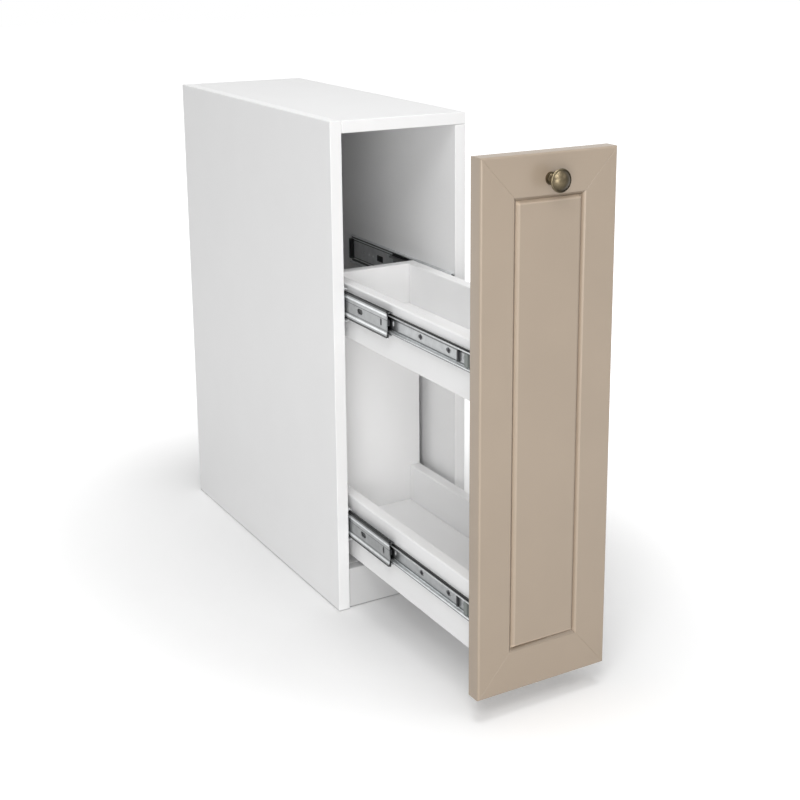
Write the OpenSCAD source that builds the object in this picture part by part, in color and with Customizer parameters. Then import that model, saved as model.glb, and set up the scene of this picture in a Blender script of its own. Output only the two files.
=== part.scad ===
// Narrow kitchen base cabinet with a pull-out front and two drawer boxes.
// Origin: on the floor, at the centre of the plinth board's underside.
// X runs across the width, the front faces -Y, and Z points up. Millimetres.

/* [Cabinet] */
// Width of the cabinet across both side panels
cabinet_width = 200; // [190:5:260]
// Depth of the side panels from front edge to rear edge
cabinet_depth = 510; // [490:5:600]
// Height of the cabinet from the floor to its top face
cabinet_height = 670; // [660:5:760]
// Thickness of the cabinet's boards
board_thickness = 16; // [15:0.5:17]
// Thickness of the thin back panel
back_panel_thickness = 4; // [3:0.5:6]
// Distance from the rear edges to the back panel's rear face
back_panel_inset = 16; // [10:1:24]
// Depth of the groove that holds the back panel
back_groove_depth = 6; // [4:0.5:8]
// Height of the plinth board
plinth_height = 57; // [45:1:60]
// Setback of the plinth board from the side panels' front edges
plinth_setback = 4; // [2:1:20]

/* [Front] */
// Thickness of the front
front_thickness = 21; // [19:0.5:24]
// Strip of each side panel's edge that the closed front leaves bare
front_reveal = 9; // [2:0.5:12]
// Gap between the front's top edge and the cabinet's top face
front_top_gap = 1; // [0.5:0.5:4]
// Gap between the front's lower edge and the floor
front_floor_gap = 30; // [20:1:45]
// Width of the left and right stiles
stile_width = 47; // [36:1:56]
// Height of the top rail
top_rail_width = 51; // [44:1:70]
// Height of the bottom rail
bottom_rail_width = 55; // [40:1:70]
// Width of the V groove between the frame and the centre panel
v_groove_width = 8; // [4:0.5:10]
// Depth of the V groove
v_groove_depth = 3.5; // [2:0.5:5]
// Thickness of the tongue around the centre panel
tongue_thickness = 6; // [4:0.5:7]
// Length of the tongue around the centre panel
tongue_length = 8; // [5:0.5:10]
// Radius of the front's outer edges
front_edge_radius = 2.5; // [1:0.5:3.5]

/* [Knob] */
// Diameter of the knob's cap
knob_diameter = 27; // [22:1:34]
// Distance the knob stands out from the front
knob_projection = 26; // [22:1:32]
// Diameter of the knob's foot
knob_foot_diameter = 15; // [12:1:18]
// Distance from the front's top edge down to the knob's centre
knob_drop = 29; // [22:1:30]

/* [Drawers] */
// Distance the pull-out stands open in the stored pose
opening_at_rest = 318; // [280:1:322]
// Gap between the closed front and the side panels' edges
closed_gap = 1; // [0.5:0.5:2]
// Length from the front's back face to the rear of the tall back board
drawer_length = 410; // [400:1:440]
// Thickness of the drawer boards
drawer_board = 16; // [14:0.5:17]
// Height of the upper drawer's lower edge above the floor
upper_drawer_base = 380; // [350:1:450]
// Height of the upper drawer's sides
upper_drawer_height = 74; // [70:1:120]
// Lift of the upper drawer's floor above its sides' lower edges
upper_floor_lift = 2; // [0:1:8]
// Distance from the upper drawer's rim down to its slides' centre line
upper_slide_drop = 24; // [23:1:32]
// Height of the lower drawer's lower edge above the floor
lower_drawer_base = 69; // [64:1:80]
// Height of the lower drawer's sides
lower_drawer_height = 88; // [84:1:140]
// Lift of the lower drawer's floor above its sides' lower edges
lower_floor_lift = 20; // [16:1:24]
// Distance from the lower drawer's rim down to its slides' centre line
lower_slide_drop = 34; // [30:1:40]

/* [Slides] */
// Length of the slides' cabinet members
slide_length = 300; // [296:1:330]
// Height of the slides' cabinet members
slide_height = 45; // [44:0.5:46]
// Space between the cabinet side and the drawer side that a slide fills
slide_space = 12.7; // [12.6:0.1:13.4]
// Sheet thickness of the slide members
slide_sheet = 1.2; // [1:0.1:1.3]
// Diameter of the slides' steel balls
ball_diameter = 4; // [3.8:0.1:4]
// Running clearance between a ball and its raceways
race_clearance = 0.08; // [0.03:0.01:0.1]
// Setback of the cabinet members from the side panels' front edges
slide_setback = 2; // [1:0.5:4]
// Share of the pull-out's travel that an intermediate member makes
intermediate_share = 0.4; // [0.38:0.01:0.42]
// Length of the outer ball cages
outer_cage_length = 148; // [120:4:148]
// Length of the inner ball cages
inner_cage_length = 78; // [60:2:78]

/* [Hidden] */
slack = 0.05;
joint_clearance = 0.1;
front_y = -plinth_setback - board_thickness / 2;
rear_y = front_y + cabinet_depth;
half_width = cabinet_width / 2;
inner_half = half_width - board_thickness;
travel = opening_at_rest - closed_gap;
top_underside = cabinet_height - board_thickness;
bottom_top = plinth_height;
bottom_underside = plinth_height - board_thickness;
plinth_y = front_y + plinth_setback;
bottom_front_y = plinth_y + board_thickness;
back_front_y = rear_y - back_panel_inset - back_panel_thickness;

// Cam joints and dowels of the cabinet
cam_radius = 7.5;
cam_depth = 12.5;
cam_reach = 34;
bolt_shaft_radius = 3;
bolt_thread_radius = 2.5;
bolt_thread_length = 11;
bolt_head_radius = 3.5;
bolt_head_length = 3;
cam_cavity = 4;
cam_front_margin = 60;
cam_rear_margin = 90;
cam_y = [front_y + cam_front_margin, back_front_y - cam_rear_margin];
dowel_radius = 4;
dowel_in_face = 10;
dowel_in_end = 18;
dowel_from_cam = 32;
dowel_y = [cam_y[0] + dowel_from_cam, cam_y[1] - dowel_from_cam];

// Front
front_width = cabinet_width - 2 * front_reveal;
front_half = front_width / 2;
front_bottom = front_floor_gap;
front_top = cabinet_height - front_top_gap;
front_height = front_top - front_bottom;
front_back_y = front_y - opening_at_rest;
front_face_y = front_back_y - front_thickness;
panel_half = front_half - stile_width;
panel_bottom = front_bottom + bottom_rail_width;
panel_top = front_top - top_rail_width;
tongue_centre_y = front_back_y - front_thickness / 2 + 1;
v_half = v_groove_width / 2;

// Knob
knob_z = front_top - knob_drop;
knob_cap_radius = knob_diameter / 2;
knob_neck_radius = 4.6;
knob_waist_radius = 10.4;
knob_foot_height = 3;
knob_rim_y = 19;
knob_rim_radius = 1.2;
knob_crown = knob_projection - knob_rim_y - knob_rim_radius;
knob_bead_radius = knob_cap_radius - 3.2;
knob_screw_radius = 2;
knob_screw_reach = 9;
knob_screw_head_radius = 4;
knob_screw_head_height = 2.4;

// Drawer boxes
drawer_half = inner_half - slide_space;
drawer_inner_half = drawer_half - drawer_board;
drawer_rear_y = front_back_y + drawer_length;
drawer_inner_rear_y = drawer_rear_y - drawer_board;
drawer_front_inner_y = front_back_y + drawer_board;
upper_rim = upper_drawer_base + upper_drawer_height;
lower_rim = lower_drawer_base + lower_drawer_height;
upper_floor_z = upper_drawer_base + upper_floor_lift;
lower_floor_z = lower_drawer_base + lower_floor_lift;
upper_slide_z = upper_rim - upper_slide_drop;
lower_slide_z = lower_rim - lower_slide_drop;
edge_dowel_margin = 14;
floor_dowel_share = [0.17, 0.5, 0.83];
floor_dowel_y = [for (share = floor_dowel_share) front_back_y + share * drawer_length];
floor_end_dowel_x = [-drawer_inner_half * 0.6, drawer_inner_half * 0.6];

// Screws
wood_screw_radius = 2;
fixing_screw_length = 32;
fixing_head_radius = 3.8;
fixing_head_height = 2.4;
fixing_x = (drawer_inner_half - dowel_in_end) * 0.7;
countersunk_radius = 3.5;
slide_screw_length = 12;
recess_depth = 0.9;
recess_length = 3.6;
recess_width = 0.8;

// Slide section: u runs from the cabinet side to the drawer side.
// A raceway spans two angles around its ball's centre, counted from +u towards the rim.
cabinet_race = [20, 180];
intermediate_outer_race = [-111, -40];
intermediate_inner_race = [15, 160];
drawer_race = [200, 340];
ball_radius = ball_diameter / 2;
race_radius = ball_radius + race_clearance;
race_outer = race_radius + slide_sheet;
outer_ball_u = race_outer;
outer_ball_z = slide_height / 2 - race_outer;
inner_ball_u = slide_space - slide_sheet - 0.95 * race_outer;
inner_ball_z = outer_ball_z - 7;
outer_cage_gap = 0.22;
outer_cage_sheet = 0.4;
outer_cage_u = slide_sheet + outer_cage_gap;
outer_cage_top = outer_ball_z + 0.55;
intermediate_web_u = outer_cage_u + outer_cage_sheet + outer_cage_gap;
intermediate_web_recess = 0.7;
intermediate_web_half = 9.5;
intermediate_web_slope = 1.3;
inner_cage_u = intermediate_web_u + intermediate_web_recess + slide_sheet + 0.3;
inner_cage_sheet = 0.7;
drawer_web_u = slide_space - slide_sheet;
drawer_web_top = inner_ball_z - race_outer * 0.34;

// Positions along the slides, measured with the pull-out closed
member_front_y = front_y + slide_setback;
member_rear_y = member_front_y + slide_length;
intermediate_setback = 16;
intermediate_length = slide_length - 25;
drawer_member_length = slide_length - 10;
rear_bumper_length = 8;
outer_cage_setback = (slide_length - outer_cage_length) / 2;
inner_cage_setback = (intermediate_setback + drawer_member_length - inner_cage_length) / 2;
outer_ball_count = 8;
inner_ball_count = 6;
cage_end_margin = 7;
outer_cage_window_margin = 15;
outer_cage_window_height = 18;
outer_ball_pitch = (outer_cage_length - 2 * cage_end_margin) / (outer_ball_count - 1);
inner_ball_pitch = (inner_cage_length - 2 * cage_end_margin) / (inner_ball_count - 1);

// Positions along the slides in the stored pose
intermediate_front_y = member_front_y + intermediate_setback - intermediate_share * travel;
drawer_member_front_y = member_front_y - travel;
outer_cage_front_y = member_front_y + outer_cage_setback - intermediate_share * travel / 2;
inner_cage_front_y = member_front_y + inner_cage_setback - (1 + intermediate_share) * travel / 2;

// Features along the slide members, measured from each member's front end
cabinet_screw_at = [35, 131, slide_length - 41];
cabinet_window_at = slide_length * 0.7;
cabinet_window_length = 18;
cabinet_window_height = 9;
cabinet_web_holes_at = [slide_length - 68, slide_length - 56];
intermediate_slot_at = 15;
intermediate_hole_at = 71;
intermediate_hole_step = intermediate_length * 6 / 11;
drawer_screw_at = [73, 138, drawer_member_length - 16];
drawer_slot_at = drawer_member_length * 0.707;
drawer_small_hole_at = 38;
front_stop_at = 24;
front_stop_length = 7;
front_stop_depth = 4.5;
front_stop_half_height = 8;
stop_rib_at = 49;
stop_rib_length = 2.4;
stop_rib_depth = 3;
stop_rib_half_height = 7;
lever_pivot_at = drawer_member_length - 50;
lever_pivot_radius = 2;
lever_u = inner_cage_u + inner_cage_sheet + 0.7;
lever_thickness = 2.4;
lever_arm_front = 32;
lever_arm_rear = 20;
lever_half_height = 3.6;
lever_boss_gap = 0.3;

// Shared helpers

// A box given by its low corner and its high corner.
module block(low, high) {
    translate(low)
        cube(high - low);
}

// A cylinder along X, from x0 to x1.
module rod_x(radius, x0, x1, y, z) {
    translate([min(x0, x1), y, z])
        rotate([0, 90, 0])
            cylinder(h = abs(x1 - x0), r = radius);
}

// A cylinder along Y, from y0 to y1.
module rod_y(radius, x, y0, y1, z) {
    translate([x, max(y0, y1), z])
        rotate([90, 0, 0])
            cylinder(h = abs(y1 - y0), r = radius);
}

// A cylinder along Z, from z0 to z1.
module rod_z(radius, x, y, z0, z1) {
    translate([x, y, min(z0, z1)])
        cylinder(h = abs(z1 - z0), r = radius);
}

// A section drawn in X and Z, drawn out along Y from y0 over a length.
module extrude_y(y0, length) {
    translate([0, y0 + length, 0])
        rotate([90, 0, 0])
            linear_extrude(length)
                children();
}

// A ring sector around the origin over a span of two angles less than 180 apart.
module ring_sector(inner, outer, span) {
    reach = 3 * outer;
    start = span[0];
    end = span[1];
    middle = (start + end) / 2;
    difference() {
        intersection() {
            circle(r = outer);
            polygon([
                [0, 0],
                [reach * cos(start), reach * sin(start)],
                [reach * cos(middle), reach * sin(middle)],
                [reach * cos(end), reach * sin(end)]
            ]);
        }
        circle(r = inner);
    }
}

// The upper half of a piece and its mirror image below the centre line.
module above_and_below() {
    children();
    mirror([0, 0, 1])
        children();
}

// A round-ended slot in a plane, centred on the origin, long along its first axis.
module slot_shape(length, width) {
    half = (length - width) / 2;
    translate([-half, 0])
        circle(d = width);
    translate([half, 0])
        circle(d = width);
    square([2 * half, width], center = true);
}

// A through cut in a slide web: drawn in Y and Z, cut over a span of u.
module web_cut(y, u0, u1) {
    translate([u0, y, 0])
        rotate([90, 0, 90])
            linear_extrude(u1 - u0)
                children();
}

// The cross recess of a screw, sunk along +Z from the origin's plane.
module cross_recess(depth) {
    translate([0, 0, depth / 2])
        cube([recess_length, recess_width, depth], center = true);
    translate([0, 0, depth / 2])
        cube([recess_width, recess_length, depth], center = true);
}

// Cabinet

// The grooves that take the back panel, as a tool for the boards around it.
module back_groove() {
    reach = back_groove_depth;
    block(
        [-inner_half - reach, back_front_y - joint_clearance, bottom_underside],
        [inner_half + reach, back_front_y + back_panel_thickness + joint_clearance, top_underside + reach]
    );
}

module back_panel() {
    reach = back_groove_depth - 1;
    color("whitesmoke")
        block(
            [-inner_half - reach, back_front_y, bottom_underside],
            [inner_half + reach, back_front_y + back_panel_thickness, top_underside + reach]
        );
}

// Joint seen in its own frame: the face lies in X = 0 and the other board's end runs to +X.
// Its middle plane is Z = 0 and its hidden face is at -Z.
module joint_bolt() {
    head_start = cam_reach - bolt_head_length;
    rod_x(bolt_thread_radius, -bolt_thread_length, 0, 0, 0);
    rod_x(bolt_shaft_radius, 0, head_start, 0, 0);
    rod_x(bolt_head_radius, head_start, cam_reach, 0, 0);
}

module joint_cam() {
    face = -board_thickness / 2;
    difference() {
        rod_z(cam_radius - slack, cam_reach, 0, face, face + cam_depth);
        block(
            [cam_reach - cam_radius - 1, -cam_cavity, -cam_cavity],
            [cam_reach + 1, cam_cavity, cam_cavity]
        );
        translate([cam_reach, 0, face])
            cross_recess(recess_depth * 2);
    }
}

module joint_bolt_bore() {
    rod_x(bolt_shaft_radius + 0.5, 0, cam_reach, 0, 0);
}

module joint_face_bore() {
    rod_x(bolt_thread_radius + slack, -bolt_thread_length - 1, 0, 0, 0);
}

module joint_cam_bore() {
    face = -board_thickness / 2;
    rod_z(cam_radius, cam_reach, 0, face, face + cam_depth + 0.2);
}

module joint_dowel() {
    rod_x(dowel_radius, -dowel_in_face, dowel_in_end, 0, 0);
}

module joint_dowel_bore() {
    rod_x(dowel_radius + slack, -dowel_in_face - 0.5, dowel_in_end + 0.5, 0, 0);
}

// Frames of the four corner joints. The right side's upper cams are on its outer face.
module at_top_left(y) {
    translate([-inner_half, y, cabinet_height - board_thickness / 2])
        children();
}

module at_top_right(y) {
    translate([inner_half + board_thickness / 2, y, top_underside])
        rotate([0, 90, 0])
            mirror([0, 0, 1])
                children();
}

module at_bottom_left(y) {
    translate([-inner_half, y, plinth_height - board_thickness / 2])
        children();
}

module at_bottom_right(y) {
    mirror([1, 0, 0])
        at_bottom_left(y)
            children();
}

module at_every_joint(positions) {
    for (y = positions) {
        at_top_left(y)
            children();
        at_top_right(y)
            children();
        at_bottom_left(y)
            children();
        at_bottom_right(y)
            children();
    }
}

module cam_locks() {
    color("silver")
        at_every_joint(cam_y)
            joint_cam();
}

module connecting_bolts() {
    color("gainsboro")
        at_every_joint(cam_y)
            joint_bolt();
}

module carcass_dowels() {
    color("burlywood")
        at_every_joint(dowel_y)
            joint_dowel();
}

// The pilot bores for the slides' screws, on the left side.
module cabinet_pilot_bores() {
    for (z = [upper_slide_z, lower_slide_z])
        for (at = cabinet_screw_at)
            rod_x(wood_screw_radius + slack, -inner_half - slide_screw_length - 0.5, -inner_half,
                member_front_y + at, z);
}

module left_side_panel() {
    color("white")
        difference() {
            block([-half_width, front_y, 0], [-inner_half, rear_y, cabinet_height]);
            back_groove();
            cabinet_pilot_bores();
            for (y = cam_y) {
                at_top_left(y)
                    joint_face_bore();
                at_bottom_left(y)
                    joint_face_bore();
            }
            for (y = dowel_y) {
                at_top_left(y)
                    joint_dowel_bore();
                at_bottom_left(y)
                    joint_dowel_bore();
            }
        }
}

module right_side_panel() {
    color("white")
        difference() {
            block([inner_half, front_y, 0], [half_width, rear_y, top_underside]);
            back_groove();
            mirror([1, 0, 0])
                cabinet_pilot_bores();
            for (y = cam_y) {
                at_top_right(y)
                    joint_bolt_bore();
                at_top_right(y)
                    joint_cam_bore();
                at_bottom_right(y)
                    joint_face_bore();
            }
            for (y = dowel_y) {
                at_top_right(y)
                    joint_dowel_bore();
                at_bottom_right(y)
                    joint_dowel_bore();
            }
        }
}

module top_panel() {
    color("white")
        difference() {
            block([-inner_half, front_y, top_underside], [half_width, rear_y, cabinet_height]);
            back_groove();
            for (y = cam_y) {
                at_top_left(y)
                    joint_bolt_bore();
                at_top_left(y)
                    joint_cam_bore();
                at_top_right(y)
                    joint_face_bore();
            }
            for (y = dowel_y) {
                at_top_left(y)
                    joint_dowel_bore();
                at_top_right(y)
                    joint_dowel_bore();
            }
        }
}

module bottom_panel() {
    color("white")
        difference() {
            block([-inner_half, bottom_front_y, bottom_underside], [inner_half, back_front_y, bottom_top]);
            for (y = cam_y) {
                at_bottom_left(y)
                    joint_bolt_bore();
                at_bottom_left(y)
                    joint_cam_bore();
                at_bottom_right(y)
                    joint_bolt_bore();
                at_bottom_right(y)
                    joint_cam_bore();
            }
            for (y = dowel_y) {
                at_bottom_left(y)
                    joint_dowel_bore();
                at_bottom_right(y)
                    joint_dowel_bore();
            }
        }
}

module plinth_board() {
    color("white")
        block([-inner_half, plinth_y, 0], [inner_half, bottom_front_y, plinth_height]);
}

// Front

// Section of a frame member: the outer edge at X = 0, the face at Y = -front_thickness.
module frame_section(width) {
    face = -front_thickness;
    radius = front_edge_radius;
    tongue_y = tongue_centre_y - front_back_y;
    slot_half = tongue_thickness / 2 + joint_clearance;
    difference() {
        union() {
            translate([radius, face + radius])
                circle(r = radius);
            polygon([
                [0, 0],
                [0, face + radius],
                [radius, face + radius],
                [radius, face],
                [width - v_half, face],
                [width, face + v_groove_depth],
                [width, 0]
            ]);
        }
        translate([width - tongue_length - 0.5, tongue_y - slot_half])
            square([tongue_length + 1, 2 * slot_half]);
    }
}

// A prism over a shape in X and Z, through the whole thickness of the front.
module through_front(points) {
    extrude_y(front_face_y - 1, front_thickness + 2)
        polygon(points);
}

module stile() {
    intersection() {
        translate([-front_half, front_back_y, front_bottom])
            linear_extrude(front_height)
                frame_section(stile_width);
        through_front([
            [-front_half, front_bottom],
            [-front_half, front_top],
            [-panel_half, panel_top],
            [-panel_half, panel_bottom]
        ]);
    }
}

module left_stile() {
    color("tan")
        stile();
}

module right_stile() {
    color("tan")
        mirror([1, 0, 0])
            stile();
}

module top_rail() {
    color("tan")
        difference() {
            intersection() {
                translate([-front_half, front_back_y, front_top])
                    rotate([0, 90, 0])
                        linear_extrude(front_width)
                            frame_section(top_rail_width);
                through_front([
                    [-front_half, front_top],
                    [front_half, front_top],
                    [panel_half, panel_top],
                    [-panel_half, panel_top]
                ]);
            }
            rod_y(knob_screw_radius + 0.3, 0, front_face_y - 1, front_back_y + 1, knob_z);
        }
}

module bottom_rail() {
    color("tan")
        intersection() {
            translate([front_half, front_back_y, front_bottom])
                rotate([0, -90, 0])
                    linear_extrude(front_width)
                        frame_section(bottom_rail_width);
            through_front([
                [-front_half, front_bottom],
                [-panel_half, panel_bottom],
                [panel_half, panel_bottom],
                [front_half, front_bottom]
            ]);
        }
}

// A bevelled strip that is cut off one long edge of the centre panel's face.
// The edge lies along Z at the origin and the panel is at +X.
module edge_bevel(length) {
    translate([0, 0, -length / 2])
        linear_extrude(length)
            polygon([
                [-1, -1],
                [v_half, -1],
                [v_half, 0],
                [0, v_groove_depth],
                [-1, v_groove_depth]
            ]);
}

module centre_panel() {
    panel_middle = (panel_bottom + panel_top) / 2;
    panel_height = panel_top - panel_bottom;
    tongue_half = tongue_thickness / 2;
    color("tan")
        difference() {
            union() {
                block([-panel_half, front_face_y, panel_bottom], [panel_half, front_back_y, panel_top]);
                block(
                    [-panel_half - tongue_length, tongue_centre_y - tongue_half, panel_bottom - tongue_length],
                    [panel_half + tongue_length, tongue_centre_y + tongue_half, panel_top + tongue_length]
                );
            }
            for (side = [0, 1])
                mirror([side, 0, 0])
                    translate([-panel_half, front_face_y, panel_middle])
                        edge_bevel(panel_height + 2);
            translate([0, front_face_y, panel_bottom])
                rotate([0, -90, 0])
                    edge_bevel(2 * panel_half + 2);
            translate([0, front_face_y, panel_top])
                rotate([0, 90, 0])
                    edge_bevel(2 * panel_half + 2);
            fixing_screw_bores();
        }
}

// Knob, turned about an axis along Y and built with its foot on Z = 0

module knob_body() {
    rotate_extrude()
        difference() {
            union() {
                square([knob_foot_diameter / 2, knob_foot_height]);
                knob_neck_section();
                translate([0, knob_rim_y - knob_rim_radius])
                    square([knob_cap_radius - knob_rim_radius, 2 * knob_rim_radius]);
                translate([knob_cap_radius - knob_rim_radius, knob_rim_y])
                    circle(r = knob_rim_radius);
                knob_crown_section();
            }
            square([knob_screw_radius + slack, knob_screw_reach + 0.5]);
        }
}

// The waisted neck: a flare from the foot to the cap, hollowed by a circle.
module knob_neck_section() {
    flare_end = knob_rim_y - knob_rim_radius;
    waist_y = knob_foot_height + (flare_end - knob_foot_height) * 0.35;
    difference() {
        polygon([
            [0, knob_foot_height],
            [knob_foot_diameter / 2 - 0.5, knob_foot_height],
            [knob_cap_radius - knob_rim_radius, flare_end],
            [0, flare_end]
        ]);
        translate([knob_neck_radius + knob_waist_radius, waist_y])
            circle(r = knob_waist_radius);
    }
}

// The domed crown: a circular segment over the bead.
module knob_crown_section() {
    base = knob_rim_y + knob_rim_radius;
    dome_radius = (pow(knob_bead_radius, 2) + pow(knob_crown, 2)) / (2 * knob_crown);
    intersection() {
        translate([0, base + knob_crown - dome_radius])
            circle(r = dome_radius);
        translate([0, base])
            square([knob_bead_radius, knob_crown]);
    }
}

module knob() {
    color("darkgoldenrod")
        translate([0, front_face_y, knob_z])
            rotate([90, 0, 0])
                knob_body();
}

module knob_screw() {
    color("silver")
        difference() {
            union() {
                rod_y(knob_screw_radius, 0, front_face_y - knob_screw_reach, front_back_y, knob_z);
                rod_y(knob_screw_head_radius, 0, front_back_y, front_back_y + knob_screw_head_height, knob_z);
            }
            translate([0, front_back_y + knob_screw_head_height, knob_z])
                rotate([90, 0, 0])
                    cross_recess(recess_depth);
        }
}

// Drawer boxes

// Frames of the drawer dowels: each one runs from a face at X = 0 into an end at +X.
module at_side_dowels(base, height, floor_z) {
    floor_middle = floor_z + drawer_board / 2;
    end_y = front_back_y + drawer_board / 2;
    for (z = [base + edge_dowel_margin, base + height - edge_dowel_margin])
        translate([-drawer_inner_half, end_y, z])
            children();
    for (y = floor_dowel_y)
        translate([-drawer_inner_half, y, floor_middle])
            children();
}

// Frames of the dowels that run from the tall back board's front face forward.
module at_back_dowels(base, height, floor_z) {
    side_x = drawer_half - drawer_board / 2;
    floor_middle = floor_z + drawer_board / 2;
    for (x = [-side_x, side_x])
        for (z = [base + edge_dowel_margin, base + height - edge_dowel_margin])
            translate([x, drawer_inner_rear_y, z])
                rotate([0, 0, -90])
                    children();
    for (x = floor_end_dowel_x)
        translate([x, drawer_inner_rear_y, floor_middle])
            rotate([0, 0, -90])
                children();
}

module at_both_sides() {
    children();
    mirror([1, 0, 0])
        children();
}

module drawer_dowel_set() {
    at_both_sides() {
        at_side_dowels(upper_drawer_base, upper_drawer_height, upper_floor_z)
            joint_dowel();
        at_side_dowels(lower_drawer_base, lower_drawer_height, lower_floor_z)
            joint_dowel();
    }
    at_back_dowels(upper_drawer_base, upper_drawer_height, upper_floor_z)
        joint_dowel();
    at_back_dowels(lower_drawer_base, lower_drawer_height, lower_floor_z)
        joint_dowel();
}

module drawer_dowels() {
    color("burlywood")
        drawer_dowel_set();
}

// The dowel bores and screw pilots of one drawer, as a tool for its boards.
module drawer_bores(base, height, floor_z, slide_z) {
    at_both_sides() {
        at_side_dowels(base, height, floor_z)
            joint_dowel_bore();
        for (at = drawer_screw_at)
            rod_x(wood_screw_radius + slack, -drawer_half, -drawer_half + slide_screw_length + 0.5,
                drawer_member_front_y + at, slide_z);
    }
    at_back_dowels(base, height, floor_z)
        joint_dowel_bore();
}

module upper_bores() {
    drawer_bores(upper_drawer_base, upper_drawer_height, upper_floor_z, upper_slide_z);
}

module lower_bores() {
    drawer_bores(lower_drawer_base, lower_drawer_height, lower_floor_z, lower_slide_z);
}

module drawer_side_board(base, rim) {
    block([-drawer_half, front_back_y, base], [-drawer_inner_half, drawer_inner_rear_y, rim]);
}

module drawer_floor_board(z) {
    block(
        [-drawer_inner_half, drawer_front_inner_y, z],
        [drawer_inner_half, drawer_inner_rear_y, z + drawer_board]
    );
}

module drawer_front_board(base, rim) {
    block([-drawer_inner_half, front_back_y, base], [drawer_inner_half, drawer_front_inner_y, rim]);
}

module upper_left_drawer_side() {
    color("snow")
        difference() {
            drawer_side_board(upper_drawer_base, upper_rim);
            upper_bores();
        }
}

module upper_right_drawer_side() {
    color("snow")
        difference() {
            mirror([1, 0, 0])
                drawer_side_board(upper_drawer_base, upper_rim);
            upper_bores();
        }
}

module lower_left_drawer_side() {
    color("snow")
        difference() {
            drawer_side_board(lower_drawer_base, lower_rim);
            lower_bores();
        }
}

module lower_right_drawer_side() {
    color("snow")
        difference() {
            mirror([1, 0, 0])
                drawer_side_board(lower_drawer_base, lower_rim);
            lower_bores();
        }
}

module upper_drawer_floor() {
    color("snow")
        difference() {
            drawer_floor_board(upper_floor_z);
            upper_bores();
        }
}

module lower_drawer_floor() {
    color("snow")
        difference() {
            drawer_floor_board(lower_floor_z);
            lower_bores();
        }
}

module upper_drawer_front_board() {
    color("snow")
        difference() {
            drawer_front_board(upper_drawer_base, upper_rim);
            upper_bores();
            fixing_screw_bores();
        }
}

module lower_drawer_front_board() {
    color("snow")
        difference() {
            drawer_front_board(lower_drawer_base, lower_rim);
            lower_bores();
            fixing_screw_bores();
        }
}

module tall_back_board() {
    color("snow")
        difference() {
            block(
                [-drawer_half, drawer_inner_rear_y, lower_drawer_base],
                [drawer_half, drawer_rear_y, upper_rim]
            );
            upper_bores();
            lower_bores();
        }
}

// Frames of the screws that hold the front: the head's seat is at Z = 0 and the shank runs to +Z.
module at_fixing_screws() {
    heights = [
        upper_floor_z + drawer_board + 14,
        upper_rim - 14,
        lower_floor_z + drawer_board + 14,
        lower_rim - 14
    ];
    for (x = [-fixing_x, fixing_x])
        for (z = heights)
            translate([x, drawer_front_inner_y, z])
                rotate([90, 0, 0])
                    children();
}

module fixing_screw_bores() {
    at_fixing_screws()
        cylinder(h = fixing_screw_length + 0.5, r = wood_screw_radius + slack);
}

module front_fixing_screws() {
    color("silver")
        at_fixing_screws()
            difference() {
                union() {
                    cylinder(h = fixing_screw_length, r = wood_screw_radius);
                    translate([0, 0, -fixing_head_height])
                        cylinder(h = fixing_head_height, r = fixing_head_radius);
                }
                translate([0, 0, -fixing_head_height])
                    cross_recess(recess_depth);
            }
}

// Slides
// Each piece is drawn for a left slide: u = 0 on the cabinet side and Z = 0 on the centre line.

module on_left(z) {
    translate([-inner_half, 0, z])
        children();
}

module on_right(z) {
    mirror([1, 0, 0])
        on_left(z)
            children();
}

module cabinet_member_half() {
    square([slide_sheet, outer_ball_z]);
    translate([outer_ball_u, outer_ball_z])
        ring_sector(race_radius, race_outer, cabinet_race);
}

module intermediate_half() {
    neck_start = [outer_ball_u + 0.75, outer_ball_z - race_outer + 0.35];
    neck_end = [inner_ball_u - 1.6, inner_ball_z + race_outer - 1.1];
    neck_side = [slide_sheet * 0.35, slide_sheet * 0.4];
    shoulder_top = intermediate_web_half + intermediate_web_slope;
    difference() {
        union() {
            translate([intermediate_web_u + intermediate_web_recess, 0])
                square([slide_sheet, intermediate_web_half + 0.1]);
            polygon([
                [intermediate_web_u + intermediate_web_recess, intermediate_web_half],
                [intermediate_web_u + intermediate_web_recess + slide_sheet, intermediate_web_half],
                [intermediate_web_u + slide_sheet, shoulder_top],
                [intermediate_web_u, shoulder_top]
            ]);
            translate([intermediate_web_u, shoulder_top - 0.1])
                square([slide_sheet, outer_ball_z - 1.6 - shoulder_top]);
            translate([outer_ball_u, outer_ball_z])
                ring_sector(race_radius, race_outer, intermediate_outer_race);
            translate([inner_ball_u, inner_ball_z])
                ring_sector(race_radius, race_outer, intermediate_inner_race);
            polygon([
                neck_start - neck_side,
                neck_end - neck_side,
                neck_end + neck_side,
                neck_start + neck_side
            ]);
        }
        translate([outer_ball_u, outer_ball_z])
            circle(r = race_radius);
        translate([inner_ball_u, inner_ball_z])
            circle(r = race_radius);
    }
}

module drawer_member_half() {
    difference() {
        union() {
            translate([drawer_web_u, 0])
                square([slide_sheet, drawer_web_top]);
            translate([drawer_web_u - 1, drawer_web_top - slide_sheet])
                square([1.5, slide_sheet]);
            translate([inner_ball_u, inner_ball_z])
                ring_sector(race_radius, race_outer, drawer_race);
        }
        translate([inner_ball_u, inner_ball_z])
            circle(r = race_radius);
    }
}

module cabinet_member() {
    difference() {
        above_and_below()
            extrude_y(member_front_y, slide_length)
                cabinet_member_half();
        for (at = cabinet_screw_at)
            translate([0, member_front_y + at, 0])
                rotate([0, 90, 0])
                    countersink();
        for (at = cabinet_web_holes_at)
            rod_x(1.6, -1, slide_sheet + 1, member_front_y + at, 0);
        web_cut(member_front_y + cabinet_window_at, -1, slide_sheet + 0.5)
            square([cabinet_window_length, cabinet_window_height], center = true);
    }
}

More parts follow.
